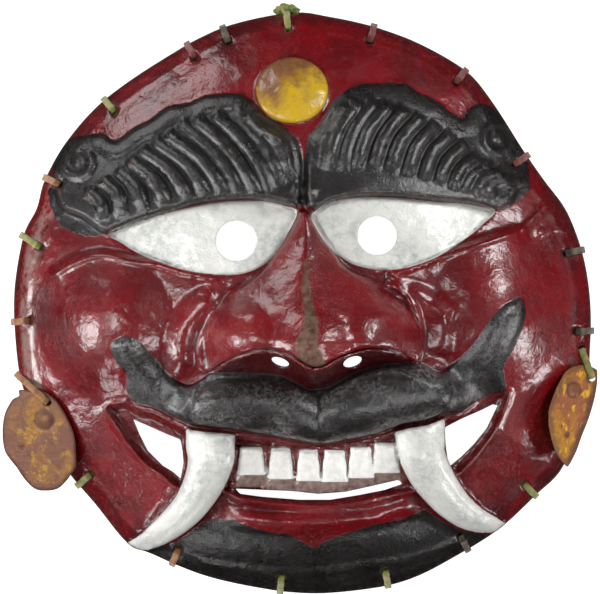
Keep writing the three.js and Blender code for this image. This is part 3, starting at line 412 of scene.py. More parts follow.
def face(X, Y):
    """Height of the upper surface, and the signed distances that the paint follows."""
    edge = depth(OUTLINE, X, Y)
    base = dome(np.maximum(edge, 0)) + rim_lift(X, Y)
    paint = {"rim": edge}

    def cover(key, inside):
        paint[key] = np.maximum(paint.get(key, OUTSIDE), inside)

    z = add_cheeks(base, X, Y)
    z += 7 * mound(X, Y, CHIN, CHIN_HALF) + 1.7 * faded(CHIN_CREASE, X, Y, 3.2, 0.05)
    z += ridges(LOWER_LIPS, X, Y)
    for patch in BROW_PATCHES:
        cover("brow", depth(patch, X, Y))
    for brow in (LEFT_BROW, RIGHT_BROW):
        rise, s = brow_rise(brow, X, Y)
        z = np.maximum(z, base + rise)
        cover("brow", s)
    z += 3.5 * mound(X, Y, KNOB, (15 * UNIT, 10 * UNIT), 1.5)
    boss = np.hypot((X - BOSS[0]) / BOSS_HALF[0], (Y - BOSS[1]) / BOSS_HALF[1])
    z += 2 * soft(1.02, 0.96, boss) + 3.5 * np.clip(1 - boss**2, 0, None)
    paint["boss"] = (1 - boss) * 18

    nose = depth(NOSE, X, Y)
    z = blend(z, np.maximum(base + nose_rise(X, Y), base + 2), soft(-0.8, 0.8, nose))
    z += ridges(WING_FOLDS, X, Y, 0.1)
    front, share, _ = near(NOSE_FRONT, X, Y)
    under = near(MOUSTACHE_TOP, X, Y)[0]
    tache = depth(MOUSTACHE, X, Y)
    x = X / UNIT + MIDDLE[0]
    wide = soft(206, 222, x) * soft(420, 404, x)
    s = share * (len(NOSE_FRONT) - 1)
    fx, fy = (np.interp(s, np.arange(len(NOSE_FRONT)), NOSE_FRONT[:, k]) for k in (0, 1))
    lap = base + blend(nose_rise(fx, fy), 3, (front / (front + under + 1e-6)) ** 0.8)
    here = (nose <= -0.4) & (Y < NOSE_FRONT[0, 1] + 13) & (tache < 0) & (front + under < 19)
    z = np.where(here & (wide > 0), np.maximum(z, blend(z, lap, wide)), z)
    # Painted shade: the band under the nose and above the moustache is marked here to be darkened, where the
    # nose overhangs it.
    paint["under_nose_shade"] = np.where(here, wide, 0) * soft(-0.4, -2, nose)

    for eye in (LEFT_EYE, RIGHT_EYE):
        s = depth(eye["loop"], X, Y)
        bow = 5 * np.clip(1 - (np.hypot(X - eye["centre"][0], Y - eye["centre"][1]) / EYE_HALF) ** 2, 0, 1)
        z = blend(z, base - 1.5 + bow, soft(-0.2, 1.1, s))
        cover("eye", s)

    mouth = depth(MOUTH, X, Y)
    z += 1.5 * fold(abs(mouth + 0.4), 2.2) * soft(-1, -3, tache)
    floor = base - 4 + 8 * soft(-7, -0.6, tache) * soft(108, 150, x) * soft(500, 455, x)
    for left, right, top, low in TEETH:
        (x0, y0), (x1, y1) = at(((left, top), (right, low)))
        flare = blend(-0.3, 1.6, np.clip((y0 - Y) / (y0 - y1), 0, 1.15))
        w, h = np.minimum(X - x0, x1 - X) + flare, np.minimum(y0 - Y, Y - y1 + 7)
        crown = 0.9 * np.clip(1 - ((X - (x0 + x1) / 2) / 6.5) ** 2, 0, 1) - 2.2 * soft(y1 + 0.6, y1 - 5, Y)
        stand = np.maximum(4.6 * soft(-4.5, -2.5, w), (6.5 + crown) * soft(-0.7, 0.7, w))
        floor = np.maximum(floor, base - 4 + stand * soft(-1.2, 1.6, h))
        cover("tooth", np.min([w, y0 - Y, Y - y1], axis=0))
        cover("gap", np.minimum(w + 3.5, h))
        # The strip below each tooth is its turned-under edge; its greyish colour further on is painted shade.
        cover("strip", np.min([w, y0 - Y, Y - y1 + 6.4], axis=0))
    z = blend(z, floor, soft(-0.4, 4.2, mouth))
    paint["mouth"] = mouth

    d, t, _ = near(LIP, X, Y)
    roll = 12 * np.clip(1 - (d / (table(LIP_HALF, t) + 2)) ** 2.4, 0, 1) * soft(0, 0.16, t) * soft(1, 0.84, t)
    horn = 4 * np.maximum(*(fold(near(line, X, Y)[0], 15 * UNIT * 1.3) for line in HORNS))
    cleft = abs(X - at((318, 0))[0, 0])
    groove = fold(cleft, 2.6) + 3.2 * np.clip(1 - cleft / 11, 0, 1) ** 1.3
    groove *= soft(-150 * UNIT, -90 * UNIT, Y)
    groove -= 1.1 * dimples(X, Y, 170, 9, 1.0, 51)
    lip = soft(0, 0.12, t) * soft(1, 0.88, t)
    cheek = z + (0.9 + 0.5 * horn) * soft(-0.4, 3.5, tache)
    rolled = base + 5 + np.maximum(roll - groove, horn) + ridges(LIP_LINES, X, Y, 0.2)
    z = blend(cheek, rolled, lip * soft(-0.4, 1.2, tache))
    paint["tache"] = tache

    for line, halves in TUSKS:
        d, t, side = near(line, X, Y)
        half = table(halves, t)
        r = d / half
        top = base + table(TUSK_RISE, t) * (0.45 + 0.55 * np.sqrt(np.clip(1 - r * r, 0, 1)))
        top -= 0.9 * fold(abs(side * r - 0.35), 0.22) * soft(0.3, 0.5, t)
        share = soft(1.12, 0.94, r) * soft(-1.4, -2.8, tache)
        z = np.where((r < 1.12) & (tache < -1.4), np.maximum(z, blend(base - 4, top, share)), z)
        cover("tusk", np.minimum((1.02 - r) * half, -tache - 2.4))
    paint["beard"] = depth(BEARD, X, Y)
    d, t, _ = near(BRIDGE, X, Y)
    half = table([0.9, 1.2, 2.0, 4.0, 5.6, 6.4], t)
    paint["bare"] = soft(1.2, -0.6, d - half + dimples(X, Y, 900, 4, 1.6, 23)) * soft(-0.5, 0.5, nose)
    z += fold(abs(edge - 7.5 - dimples(X, Y, 60, 30, 1.5, 31)), 2.4)
    return z, paint


# %% [markdown]
# ## Hammer marks
# Sheet beaten over a former is never quite even. Broad hollows a finger wide break up the highlights on
# the real cheeks and forehead, so a few hundred shallow dimples are pressed into the mesh itself, from
# a fixed list of random places.

# %% Dimples
def dimples(X, Y, count, radius, deep, seed):
    rng = np.random.default_rng(seed)
    out = np.zeros(X.shape)
    for _ in range(count):
        px, py = rng.uniform(-150, 150, 2)
        r, k = radius * rng.uniform(0.6, 1.4), deep * rng.uniform(-1, 0.6)
        d = (X - px) ** 2 + (Y - py) ** 2
        out += k * np.exp(-d / (0.5 * r * r))
    return out


# %% [markdown]
# ## From points to sheet
# Points are laid in rows along every edge and in a fine lattice between them. A Delaunay triangulation
# joins them without long slivers, and the openings are the triangles left out. The lower face is a copy
# of the upper one moved down by the sheet's own thickness, and a wall joins the two round each edge.

# %% Scattering points
FINE, ROW = 1.5, 1.5   # gaps in the lattice and along a row
CLOSEST = 0.42         # two points of neighbouring rows
CELL = 2               # the search grid


def circle(centre, rx, ry=None, turn=0.0, gap=1.3):
    a = np.linspace(0, 2 * np.pi, max(12, round(2 * np.pi * rx / gap)), endpoint=False)
    u, v = rx * np.cos(a), (ry or rx) * np.sin(a)
    return centre + np.c_[u * np.cos(turn) - v * np.sin(turn), u * np.sin(turn) + v * np.cos(turn)]


class Scatter:
    """Keeps points apart by their own gap, first come first served."""

    def __init__(self, rim, holes):
        self.rim, self.holes, self.cells, self.points = rim, holes, {}, []
        for p in np.vstack([rim, *holes]):
            self._keep(p)

    def _keep(self, p):
        self.points.append(p)
        self.cells.setdefault((int(p[0] // CELL), int(p[1] // CELL)), []).append(p)

    def add(self, points, gap):
        ok = within(self.rim, *points.T) & (near(self.rim, *points.T, True)[0] > gap * 0.6)
        for hole in self.holes:
            ok &= ~within(hole, *points.T)
        for p in points[ok]:
            i, j = int(p[0] // CELL), int(p[1] // CELL)
            close = (q for a in (-1, 0, 1) for b in (-1, 0, 1) for q in self.cells.get((i + a, j + b), ()))
            if all((q[0] - p[0]) ** 2 + (q[1] - p[1]) ** 2 > gap * gap for q in close):
                self._keep(p)

    def rows(self, line, offsets, gap=ROW, closed=False):
        stations = spaced(line, gap, closed)
        for offset in offsets:
            self.add(beside(stations, offset, closed), CLOSEST)


def sheet_mesh(name, scatter, upper, paint, thickness, flat_under=None):
    """A closed solid sheet over the scattered points, with the paint distances as attributes."""
    pts = np.array(scatter.points)
    tris = np.array(delaunay_2d_cdt([Vector(p) for p in pts], [], [], 0, 1e-7, False)[2])
    mid = pts[tris].mean(axis=1)
    keep = within(scatter.rim, *mid.T)
    for hole in scatter.holes:
        keep &= ~within(hole, *mid.T)
    tris = tris[keep]
    a, b, c = (pts[tris[:, k]] for k in range(3))
    flip = np.cross(b - a, c - a) < 0
    tris[flip] = tris[flip][:, ::-1]
    top = np.c_[pts, upper]
    n = np.cross(top[tris[:, 1]] - top[tris[:, 0]], top[tris[:, 2]] - top[tris[:, 0]])
    normals = np.zeros_like(top)
    for k in range(3):
        np.add.at(normals, tris[:, k], n)
    normals /= np.linalg.norm(normals, axis=1)[:, None] + 1e-12
    low = upper - thickness * np.clip(1 / np.maximum(normals[:, 2], 0.05), 1, STEEPEST)
    if flat_under is not None:
        low = np.where(np.isnan(flat_under), low, flat_under)
    edges = {}
    for p, q in (pair for t in tris.tolist() for pair in zip(t, t[1:] + t[:1])):
        if (q, p) in edges:
            del edges[q, p]
        else:
            edges[p, q] = True
    wall = np.array(list(edges))
    count = len(pts)
    p, q = wall.T
    faces = np.vstack([tris, tris[:, ::-1] + count, np.c_[p, p + count, q], np.c_[q, p + count, q + count]])
    verts = (np.vstack([top, np.c_[pts, low]]) + SHIFT) / 1000
    mesh = bpy.data.meshes.new(name)
    mesh.from_pydata(verts.tolist(), [], faces.tolist())
    mesh.shade_smooth()
    mesh.update()
    marks = {key: np.r_[v, v] for key, v in {**paint, "turn": curvature(tris, upper)}.items()}
    marks["under"] = np.repeat((0, 1), count)
    for key, values in marks.items():
        mesh.attributes.new(key, "FLOAT", "POINT").data.foreach_set("value", values.astype(np.float32))
    piece = bpy.data.objects.new(name, mesh)
    bpy.context.collection.objects.link(piece)
    print(name, "has", len(faces), "triangles")
    return piece


def curvature(tris, z, rounds=8):
    """How far each point stands above its wider neighbourhood, in millimetres."""
    ends = np.vstack([tris[:, [0, 1]], tris[:, [1, 2]], tris[:, [2, 0]]])
    degree = np.bincount(ends.ravel(), minlength=len(z))
    wide = z.copy()
    for _ in range(rounds):
        total = sum(np.bincount(ends[:, k], wide[ends[:, 1 - k]], len(z)) for k in (0, 1))
        wide = 0.5 * wide + 0.5 * total / np.maximum(degree, 1)
    return z - wide


# %% Match the tracing to the solids
low, high = (np.array(c) * 1000 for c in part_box("mask_shell"))
centre = (OUTLINE.min(0) + OUTLINE.max(0)) / 2
SHIFT = np.array([*((low + high)[:2] / 2 - centre), 0.0])
print("tracing moved by", SHIFT.round(3), "mm")

# %% The face
rim = spaced(OUTLINE, 1.4, True)
holes = [circle(e["hole"], e["radius"]) for e in (LEFT_EYE, RIGHT_EYE)]
holes += [circle(c, *half, turn, gap=1.0) for c, half, turn in NOSTRILS]
holes += [circle(hole, TIE_HOLE, gap=1.0) for hole in [t[1] for t in lacing] + [t[2] for t in EAR_TIES]]
holes += [spaced(g, 1.3, True) for g in GAPS]
shell = Scatter(rim, holes)
for offset in (-0.7, -1.5, -2.6):
    shell.add(beside(rim, offset, True), 0.55)
for hole in holes[:2] + holes[-3:]:
    for offset in (-0.8, 0.8):
        shell.add(beside(hole, offset, True), 0.5)
for eye in (LEFT_EYE, RIGHT_EYE):
    shell.rows(eye["loop"], (-0.9, -0.3, 0.35), closed=True)
for line, halves in TUSKS:
    stations = spaced(line, 1.4)
    for r in (-1.12, -1.03, -0.94, 0.94, 1.03, 1.12):
        shift = r * table(halves, np.linspace(0, 1, len(stations)))
        shell.add(beside(stations, shift[:, None]), 0.45)
for line in (MOUSTACHE, MOUTH):
    shell.rows(line, (-1.0, -0.3, 0.4, 1.0), closed=True)
shell.rows(NOSE, (-0.6, 0.0, 0.8), closed=True)
shell.rows(NOSE_FRONT, (-0.7, 0, 0.7))
for brow in (LEFT_BROW, RIGHT_BROW):
    shell.rows(brow["low"], (-1.1, -0.35, 0.4))
    shell.rows(brow["top"], (0.35, -0.35, -1.1, -2.6))
    for a, b in zip(brow["hairs"], brow["hairs"][1:] + brow["hairs"][-1:]):
        shell.rows(a, (-2.0, 0, 2.0))
        shell.rows((a + b) / 2, (-0.5, 0.5))
for r in (1.02, 0.99, 0.96):
    shell.add(circle(BOSS, BOSS_HALF[0] * r, BOSS_HALF[1] * r, gap=1.4), 0.4)
for left, right, top, low_end in TEETH:
    for u in (left - 2, left, left + 2, right - 2, right, right + 2):
        shell.rows(at(((u, top - 3), (u, low_end + 13))), (0,))
shell.rows(CHIN_CREASE, (0,))
REACH = 153   # the lattice runs this far from the middle
across = np.arange(-REACH, REACH, FINE)
for k, y in enumerate(np.arange(-REACH, REACH, FINE * 0.866)):
    shell.add(np.c_[across + (k % 2) * FINE / 2, np.full(len(across), y)], FINE * 0.62)
X, Y = np.array(shell.points).T
height, paint = face(X, Y)
calm = soft(0, 6, paint["rim"]) * (1 - soft(-1, 1, paint["tooth"]))
HAMMERED = ((420, 11, 0.75, 7), (1500, 4.2, 0.3, 11), (3200, 2.5, 0.2, 13))
height = np.minimum(height, high[2] - 0.4) + calm * sum(dimples(X, Y, *blows) for blows in HAMMERED)
foot = np.where(paint["rim"] < RIM_FOOT + 0.2, rim_lift(X, Y), np.nan)
mask = sheet_mesh("painted_face", shell, height, paint, SHEET, foot)
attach(mask, "root")
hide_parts("mask_shell")

# %% [markdown]
# ## Ear discs
# Two oval plates hang beside the jaw, one laced to each side. They are cut from thicker sheet, each with
# a small knob at the top, and they lean against the mask. The same triangulated sheet makes them, with
# an uneven surface and a slightly turned edge.

# %% The two plates
LEFT_DISC = ring_of(19,390, 19,396, 13,399, 8,406, 4,415, 2,427, 2,440, 4,451, 8,458, 16,468, 22,477,
    27,483, 34,489, 43,491, 57,489, 67,480, 71,474, 76,467, 76,454, 75,438, 71,425, 64,411, 57,401,
    50,395, 44,392, 30,390)
RIGHT_DISC = ring_of(567,370, 581,365, 592,367, 599,372, 598,382, 595,399, 589,419, 582,436, 576,452,
    568,466, 564,464, 557,455, 552,443, 548,426, 547,416, 549,406, 554,392, 559,382)
DISC_SHEET = 1.5


def ear_disc(name, loop, start, height, across, down, knob, knob_radius, holes, pit, seed):
    box_low, box_high = (np.array(c)[:2] * 1000 - SHIFT[:2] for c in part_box(name.replace("_plate", "")))
    edge = np.clip(spaced(loop, 1.0, True), box_low, box_high)
    plate = Scatter(edge, holes)
    for offset in (-0.5, -1.1):
        plate.add(beside(edge, offset, True), 0.4)
    lattice = np.array([(x + (k % 2) * 0.55, y) for k, y in enumerate(np.arange(-110, 0, 0.95))
                        for x in np.arange(edge[:, 0].min(), edge[:, 0].max(), 1.1)])
    plate.add(lattice, 0.7)
    X, Y = np.array(plate.points).T
    u, v = X / UNIT + MIDDLE[0], MIDDLE[1] - Y / UNIT
    r = np.hypot(*(np.c_[X, Y] - at(knob)[0]).T) / (knob_radius * UNIT)
    rim = depth(edge, X, Y)
    z = height + across * (u - start[0]) + down * (v - start[1]) + 1.6 * np.clip(1 - r * r, 0, None)
    z -= 0.35 * fold(abs(r - 1.15), 0.35) + 0.5 * (1 - soft(0, 1.0, rim))
    z += dimples(X, Y, 700, 5, 0.16, seed) * soft(0, 2, rim)
    z -= 0.7 * fold(np.hypot(*(np.c_[X, Y] - at(pit)[0]).T), 2.6)
    disc = sheet_mesh(name, plate, z, {"rim": rim, "knob": (1 - r) * knob_radius * UNIT}, DISC_SHEET)
    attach(disc, "root")
    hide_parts(name.replace("_plate", ""))
    return disc


left_disc = ear_disc("ear_disc_left_plate", LEFT_DISC, (10, 460), 3.9, 0.33, -0.13, (44.6, 419.8), 8,
                     [circle(EAR_TIES[0][2], TIE_HOLE * 0.85, gap=0.8)], (22, 447.5), 3)
right_disc = ear_disc("ear_disc_right_plate", RIGHT_DISC, (599, 371), 6.5, -0.66, -0.02, (573.7, 389.7), 6,
                      [circle(EAR_TIES[1][3], TIE_HOLE * 0.85, gap=0.8)], (567, 434.7), 5)

# %% [markdown]
# ## Laces
# Twenty scraps of cloth are knotted through the holes. Each is a flat strip pulled round the metal, so
# it repeats one rule: a closed path round the edge, swept by a thin flat section. Geometry Nodes does
# this for all strips of one colour at once, and a little noise keeps them from looking machined.

# %% Laying nodes
class Bench:
    """Each call puts one node on the bench and gives back what it puts out."""

    def __init__(self, tree, where=None, kind="ShaderNode"):
        self.tree, self.where, self.kind = tree, where, kind

    def put(self, kind, values=(), out=0, **settings):
        node = self.tree.nodes.new(kind if "Node" in kind else self.kind + kind)
        for key, value in settings.items():
            setattr(node, key, value)
        for key, value in dict(values).items():
            if isinstance(value, bpy.types.NodeSocket):
                self.tree.links.new(value, node.inputs[key])
            else:
                node.inputs[key].default_value = value
        return node.outputs[out]

    def math(self, operation, *terms):
        return self.put("Math", dict(enumerate(terms)), operation=operation)

    def mul(self, x, y):
        return self.math("MULTIPLY", x, y)

    def most(self, x, y):
        return self.math("MAXIMUM", x, y)

    def line(self, x, slope, start):
        return self.math("MULTIPLY_ADD", x, slope, start)

    def noise(self, scale, detail=3, rough=0.55, twist=0):
        return self.put("TexNoise", {"Vector": self.where, "Scale": scale, "Detail": detail,
                                     "Roughness": rough, "Distortion": twist})

    def ramp(self, x, a, b, low=0.0, high=1.0):
        return self.put("MapRange", {"Value": x, "From Min": a, "From Max": b, "To Min": low,
                                     "To Max": high}, interpolation_type="SMOOTHSTEP")

    def blend(self, share, a, b):
        return self.put("Mix", {0: share, 6: a, 7: b}, out=2, data_type="RGBA")

    def mark(self, name):
        return self.put("Attribute", out=2, attribute_name=name)

    def group(self, tree, **values):
        return self.put("Group", {"Where": self.where, **values}, node_tree=tree)

    def bump(self, height, strength, metres):
        return self.put("Bump", {"Height": height, "Strength": strength, "Distance": metres})

    def wire(self, coat, **ends):
        """Each value goes to the shader's input of that name."""
        for key, value in ends.items():
            self.tree.links.new(value, coat.inputs[key.replace("_", " ")])


# %% Nodes that sweep a strip
STRIP_SIZES = {"Width": 0.0034, "Thickness": 0.0010, "Ripple": 0.0010, "Knot": 0.0026}


def strip_tree():
    tree = bpy.data.node_groups.new("cloth_strip", "GeometryNodeTree")
    face = tree.interface
    face.new_socket("Path", in_out="INPUT", socket_type="NodeSocketGeometry")
    for name, value in {**STRIP_SIZES, "Seed": 1.0}.items():
        face.new_socket(name, in_out="INPUT", socket_type="NodeSocketFloat").default_value = value
    face.new_socket("Cloth", in_out="INPUT", socket_type="NodeSocketMaterial")
    face.new_socket("Strips", in_out="OUTPUT", socket_type="NodeSocketGeometry")

    put = Bench(tree, kind="GeometryNode").put
    given = tree.nodes.new("NodeGroupInput").outputs
    path = put("MeshToCurve", {"Mesh": given["Path"]})
    side = put("InputNamedAttribute", {"Name": "side"}, data_type="FLOAT_VECTOR")
    path = put("SetCurveNormal", {"Curve": path, "Normal": side}, mode="FREE")
    noise = put("ShaderNodeTexNoise", {"Scale": 260.0, "W": given["Seed"], "Detail": 1.0}, out="Color",
                noise_dimensions="4D")
    push = put("ShaderNodeVectorMath", {0: noise, 1: (0.5, 0.5, 0.5)}, operation="SUBTRACT")
    push = put("ShaderNodeVectorMath", {0: push, "Scale": given["Ripple"]}, operation="SCALE")
    path = put("SetPosition", {"Geometry": path, "Offset": push})
    flat = put("CurvePrimitiveQuadrilateral",
               {"Width": given["Width"], "Height": given["Thickness"]})
    third = put("ShaderNodeMath", {0: given["Thickness"], 1: 0.3}, operation="MULTIPLY")
    flat = put("FilletCurve", {"Curve": flat, "Radius": third}, mode="BEZIER")
    swept = put("CurveToMesh", {"Curve": path, "Profile Curve": flat})
    tied = put("InputNamedAttribute", {"Name": "knot"}, data_type="FLOAT")
    spots = put("MeshToPoints", {"Mesh": given["Path"], "Selection": tied})
    ball = put("MeshIcoSphere", {"Radius": given["Knot"], "Subdivisions": 3})
    lumps = put("ShaderNodeTexNoise", {"Scale": 480.0, "Detail": 2.0}, out="Color")
    lumps = put("ShaderNodeVectorMath", {0: lumps, 1: (0.5, 0.5, 0.5)}, operation="SUBTRACT")
    lumps = put("ShaderNodeVectorMath", {0: lumps, "Scale": 0.0035}, operation="SCALE")
    knots = put("InstanceOnPoints", {"Points": spots, "Instance": ball, "Scale": (1, 1, 0.7)})
    knots = put("RealizeInstances", {"Geometry": knots})
    knots = put("SetPosition", {"Geometry": knots, "Offset": lumps})
    both = tree.nodes.new("GeometryNodeJoinGeometry")
    tree.links.new(knots, both.inputs[0])
    tree.links.new(swept, both.inputs[0])
    swept = both.outputs[0]
    swept = put("SetShadeSmooth", {"Geometry": swept})
    swept = put("RealizeInstances", {"Geometry": swept})
    swept = put("SetMaterial", {"Geometry": swept, "Material": given["Cloth"]})
    tree.links.new(swept, tree.nodes.new("NodeGroupOutput").inputs[0])
    return tree


STRIP = strip_tree()


def hull(points):
    pts = sorted(map(tuple, points))

    def half(run):
        out = []
        for p in run:
            while len(out) > 1 and ((out[-1][0] - out[-2][0]) * (p[1] - out[-2][1])
                                    - (out[-1][1] - out[-2][1]) * (p[0] - out[-2][0])) <= 1e-9:
                out.pop()
            out.append(p)
        return out[:-1]
    return np.array(half(pts) + half(pts[::-1]))


# %% A path for each lace
def lace_path(node, hole, end, thick=1.1):
    """The strip's middle line, read from the solid that stands for it: points and the strip's side."""
    along = (end - hole) / np.hypot(*(end - hole))
    across = np.array([-along[1], along[0]])
    verts = np.array([v.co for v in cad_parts[node].data.vertices]) * 1000 - SHIFT
    q = (verts[:, :2] - hole) @ along
    outer = hull(np.c_[q, verts[:, 2]])
    loop = beside(spaced(outer, 0.5, True), thick / 2, True)
    loop = (np.roll(loop, 1, 0) + loop + np.roll(loop, -1, 0)) / 3
    xy = hole + loop[:, :1] * along
    return np.c_[xy, loop[:, 1]], np.r_[across, 0]


def sheet_height(hole):
    """Lowest upper surface just round a lacing hole, in millimetres."""
    round_it = circle(hole, TIE_HOLE)
    return face(*round_it.T)[0].min()


KNOT_BELOW = 3.6   # knots sit this far under the sheet
TOP_KNOT = (((279, 10), 4.0), ((284, 7), 5.6), ((291, 8), 5.0), ((295, 11), 3.6))


def laces(colour, cloth, seed):
    loops = [(f"rim_tie_{i + 1:02d}", t[1], t[0]) for i, t in enumerate(lacing) if t[2] == colour]
    loops += [(name, hole, end) for name, tint, hole, end in EAR_TIES if tint == colour]
    verts, edges, sides, spots = [], [], [], []
    runs = [(*lace_path(node, hole, end), hole) for node, hole, end in loops]
    if colour == "green":
        turn = np.linspace(0, 2 * np.pi, 40, endpoint=False)
        bow = np.c_[3.6 * np.cos(turn), 1.5 * np.sin(turn) + 0.9 * np.cos(2 * turn),
                    1.6 * np.sin(2 * turn)]
        runs.append((bow + [*at((289, 10))[0], 5.4], np.array([0.1, 0.35, 0.93]), None))
    for points, side, hole in runs:
        first = len(verts)
        verts += points.tolist()
        edges += [(first + i, first + (i + 1) % len(points)) for i in range(len(points))]
        sides += [side.tolist()] * len(points)
        if hole is not None:
            spots.append([*hole, sheet_height(hole) - KNOT_BELOW])
    if colour == "green":
        spots += [[*at(place)[0], lift] for place, lift in TOP_KNOT]
    knots = [0.0] * len(verts) + [1.0] * len(spots)
    sides += [[0, 0, 1]] * len(spots)
    verts = ((np.array(verts + spots) + SHIFT) / 1000).tolist()
    mesh = bpy.data.meshes.new("lace_paths")
    mesh.from_pydata(verts, edges, [])
    mesh.attributes.new("side", "FLOAT_VECTOR", "POINT").data.foreach_set("vector", np.ravel(sides))
    mesh.attributes.new("knot", "FLOAT", "POINT").data.foreach_set("value", knots)
    paths = bpy.data.objects.new("lace_paths", mesh)
    bpy.context.collection.objects.link(paths)
    step = paths.modifiers.new("strip", "NODES")
    step.node_group = STRIP
    sockets = {s.name: s.identifier for s in STRIP.interface.items_tree if s.in_out == "INPUT"}
    for name, value in {**STRIP_SIZES, "Seed": seed, "Cloth": cloth}.items():
        step[sockets[name]] = value
    ready = bpy.data.meshes.new_from_object(paths.evaluated_get(bpy.context.evaluated_depsgraph_get()))
    bpy.data.objects.remove(paths)
    piece = bpy.data.objects.new("laces_" + colour, ready)
    bpy.context.collection.objects.link(piece)
    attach(piece, "root")
    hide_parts(*(node for node, _, _ in loops))
    print(piece.name, "has", len(loops), "strips and", len(ready.polygons), "faces")
    return piece


# %% [markdown]
# ## Paint shop
# Paint, wear and dirt are the same few effects on every finish, so they are node groups: an edge that a
# brush left a little uneven, the skin of beaten metal, and the darkening of hollows, grime together with
# painted shade, while crests are rubbed bare. Each material places them with its own numbers.

# %% Colours and effects
def shade(r, g, b):
    """A colour as it looks on screen, from 0 to 255, as the light it stands for."""
    light = [((c / 255 + 0.055) / 1.055) ** 2.4 if c > 10 else c / 255 / 12.92 for c in (r, g, b)]
    return (*light, 1.0)


def effect(name, inputs, outputs):
    tree = bpy.data.node_groups.new(name, "ShaderNodeTree")
    for key, value in inputs.items():
        kind = "NodeSocketVector" if value is None else "NodeSocketFloat"
        socket = tree.interface.new_socket(key, in_out="INPUT", socket_type=kind)
        if value is not None:
            socket.default_value = value
    for key in outputs:
        tree.interface.new_socket(key, in_out="OUTPUT", socket_type="NodeSocketFloat")
    given = tree.nodes.new("NodeGroupInput").outputs
    return tree, Bench(tree, given["Where"]), given, tree.nodes.new("NodeGroupOutput").inputs


# %% Brushed edge, beaten skin, wear and shade in hollows
PAINT_EDGE, b, given, out = effect(
    "brushed_edge", {"Where": None, "Distance": 0.0, "Wobble": 0.5, "Soft": 0.25}, ("Mask",))
wave = b.math("SUBTRACT", b.noise(330, 3), 0.5)
moved = b.line(wave, given["Wobble"], given["Distance"])
b.tree.links.new(b.put("MapRange", {"Value": moved, "From Min": b.mul(given["Soft"], -1.0),
                                    "From Max": given["Soft"]}, interpolation_type="SMOOTHSTEP"), out["Mask"])

BEATEN, b, given, out = effect(
    "beaten_skin", {"Where": None, "Broad": 0.5, "Dents": 0.5, "Grain": 0.2}, ("Height",))
broad = b.mul(b.noise(75, 2), given["Broad"])
dent = b.put("TexVoronoi", {"Vector": given["Where"], "Scale": 150.0, "Randomness": 1.0}, feature="SMOOTH_F1")
dent = b.mul(dent, given["Dents"])
broad = b.math("ADD", broad, dent)
creased = b.mul(b.noise(190, 3, 0.55, 0.6), 0.42)
broad = b.math("ADD", broad, creased)
grain = b.mul(b.noise(950, 4, 0.65), given["Grain"])
pits = b.put("TexVoronoi", {"Vector": given["Where"], "Scale": 520.0, "Randomness": 1.0})
pits = b.mul(b.ramp(pits, 0.0, 0.22, -0.3, 0.0), given["Grain"])
b.tree.links.new(b.math("ADD", b.math("ADD", broad, grain), pits), out["Height"])

# Wear: crests rubbed bare, chips, and hollows found from the curvature darkened as grime together with
# painted shade.
WEAR, b, given, out = effect("rubbed_dirty_and_shaded", {"Where": None, "Turn": 0.0, "Rubbed": 0.3, "Dirty": 0.3},
                             ("Bare", "Shaded_grime", "Chips"))
patchy = b.math("SUBTRACT", b.noise(140, 5, 0.65), 0.5)
crest = b.line(patchy, 0.45, given["Turn"])
b.tree.links.new(b.ramp(b.math("SUBTRACT", crest, given["Rubbed"]), 0.0, 0.1), out["Bare"])
hollow = b.line(patchy, 0.3, b.mul(given["Turn"], -1.0))
b.tree.links.new(b.ramp(b.math("SUBTRACT", hollow, given["Dirty"]), -0.1, 0.35), out["Shaded_grime"])
chips = b.mul(b.ramp(b.noise(420, 6, 0.7), 0.66, 0.69), b.ramp(b.noise(60, 2), 0.5, 0.66))
b.tree.links.new(chips, out["Chips"])
print("effects:", PAINT_EDGE.name, BEATEN.name, WEAR.name)


def finish_coat(name, **numbers):
    """A new material with its bench and its Principled shader."""
    material = bpy.data.materials.new(name)
    material.use_nodes = True
    tree = material.node_tree
    coat = tree.nodes["Principled BSDF"]
    for key, value in numbers.items():
        coat.inputs[key.replace("_", " ")].default_value = value
    b = Bench(tree)
    b.where = b.put("TexCoord", out="Object")
    return material, b, coat


# %% [markdown]
# ## The painted face
# Red lacquer covers the sheet, and black, white and ochre were brushed over it by hand. Each coat is laid
# over the last with its own traced edge. Crests of brows and moustache are rubbed down to bronze, the
# bridge of the nose and the rim are bare, and every groove is darkened by old dirt and by painted shade.
# Some colours here are painted light: a grey sheen on the black, a pale reflection along the left rim,
# shade under the nose, in the mouth and under the teeth, and a brighter white on the teeth.

# %% Painted sheet
RED, RED_DEEP = shade(116, 4, 14), shade(84, 3, 11)
BLACK, BLACK_WARM = shade(8, 7, 7), shade(22, 17, 15)
WHITE, WHITE_DULL = shade(212, 212, 206), shade(166, 170, 170)
BRONZE, COPPER_DARK = shade(118, 92, 76), shade(78, 50, 42)
YELLOWER = (0.55, -0.83, 0.0)   # the boss keeps its yellow towards this side
GOLD_FROM = float(np.dot((BOSS + SHIFT[:2]) / 1000, YELLOWER[:2])) + 0.012


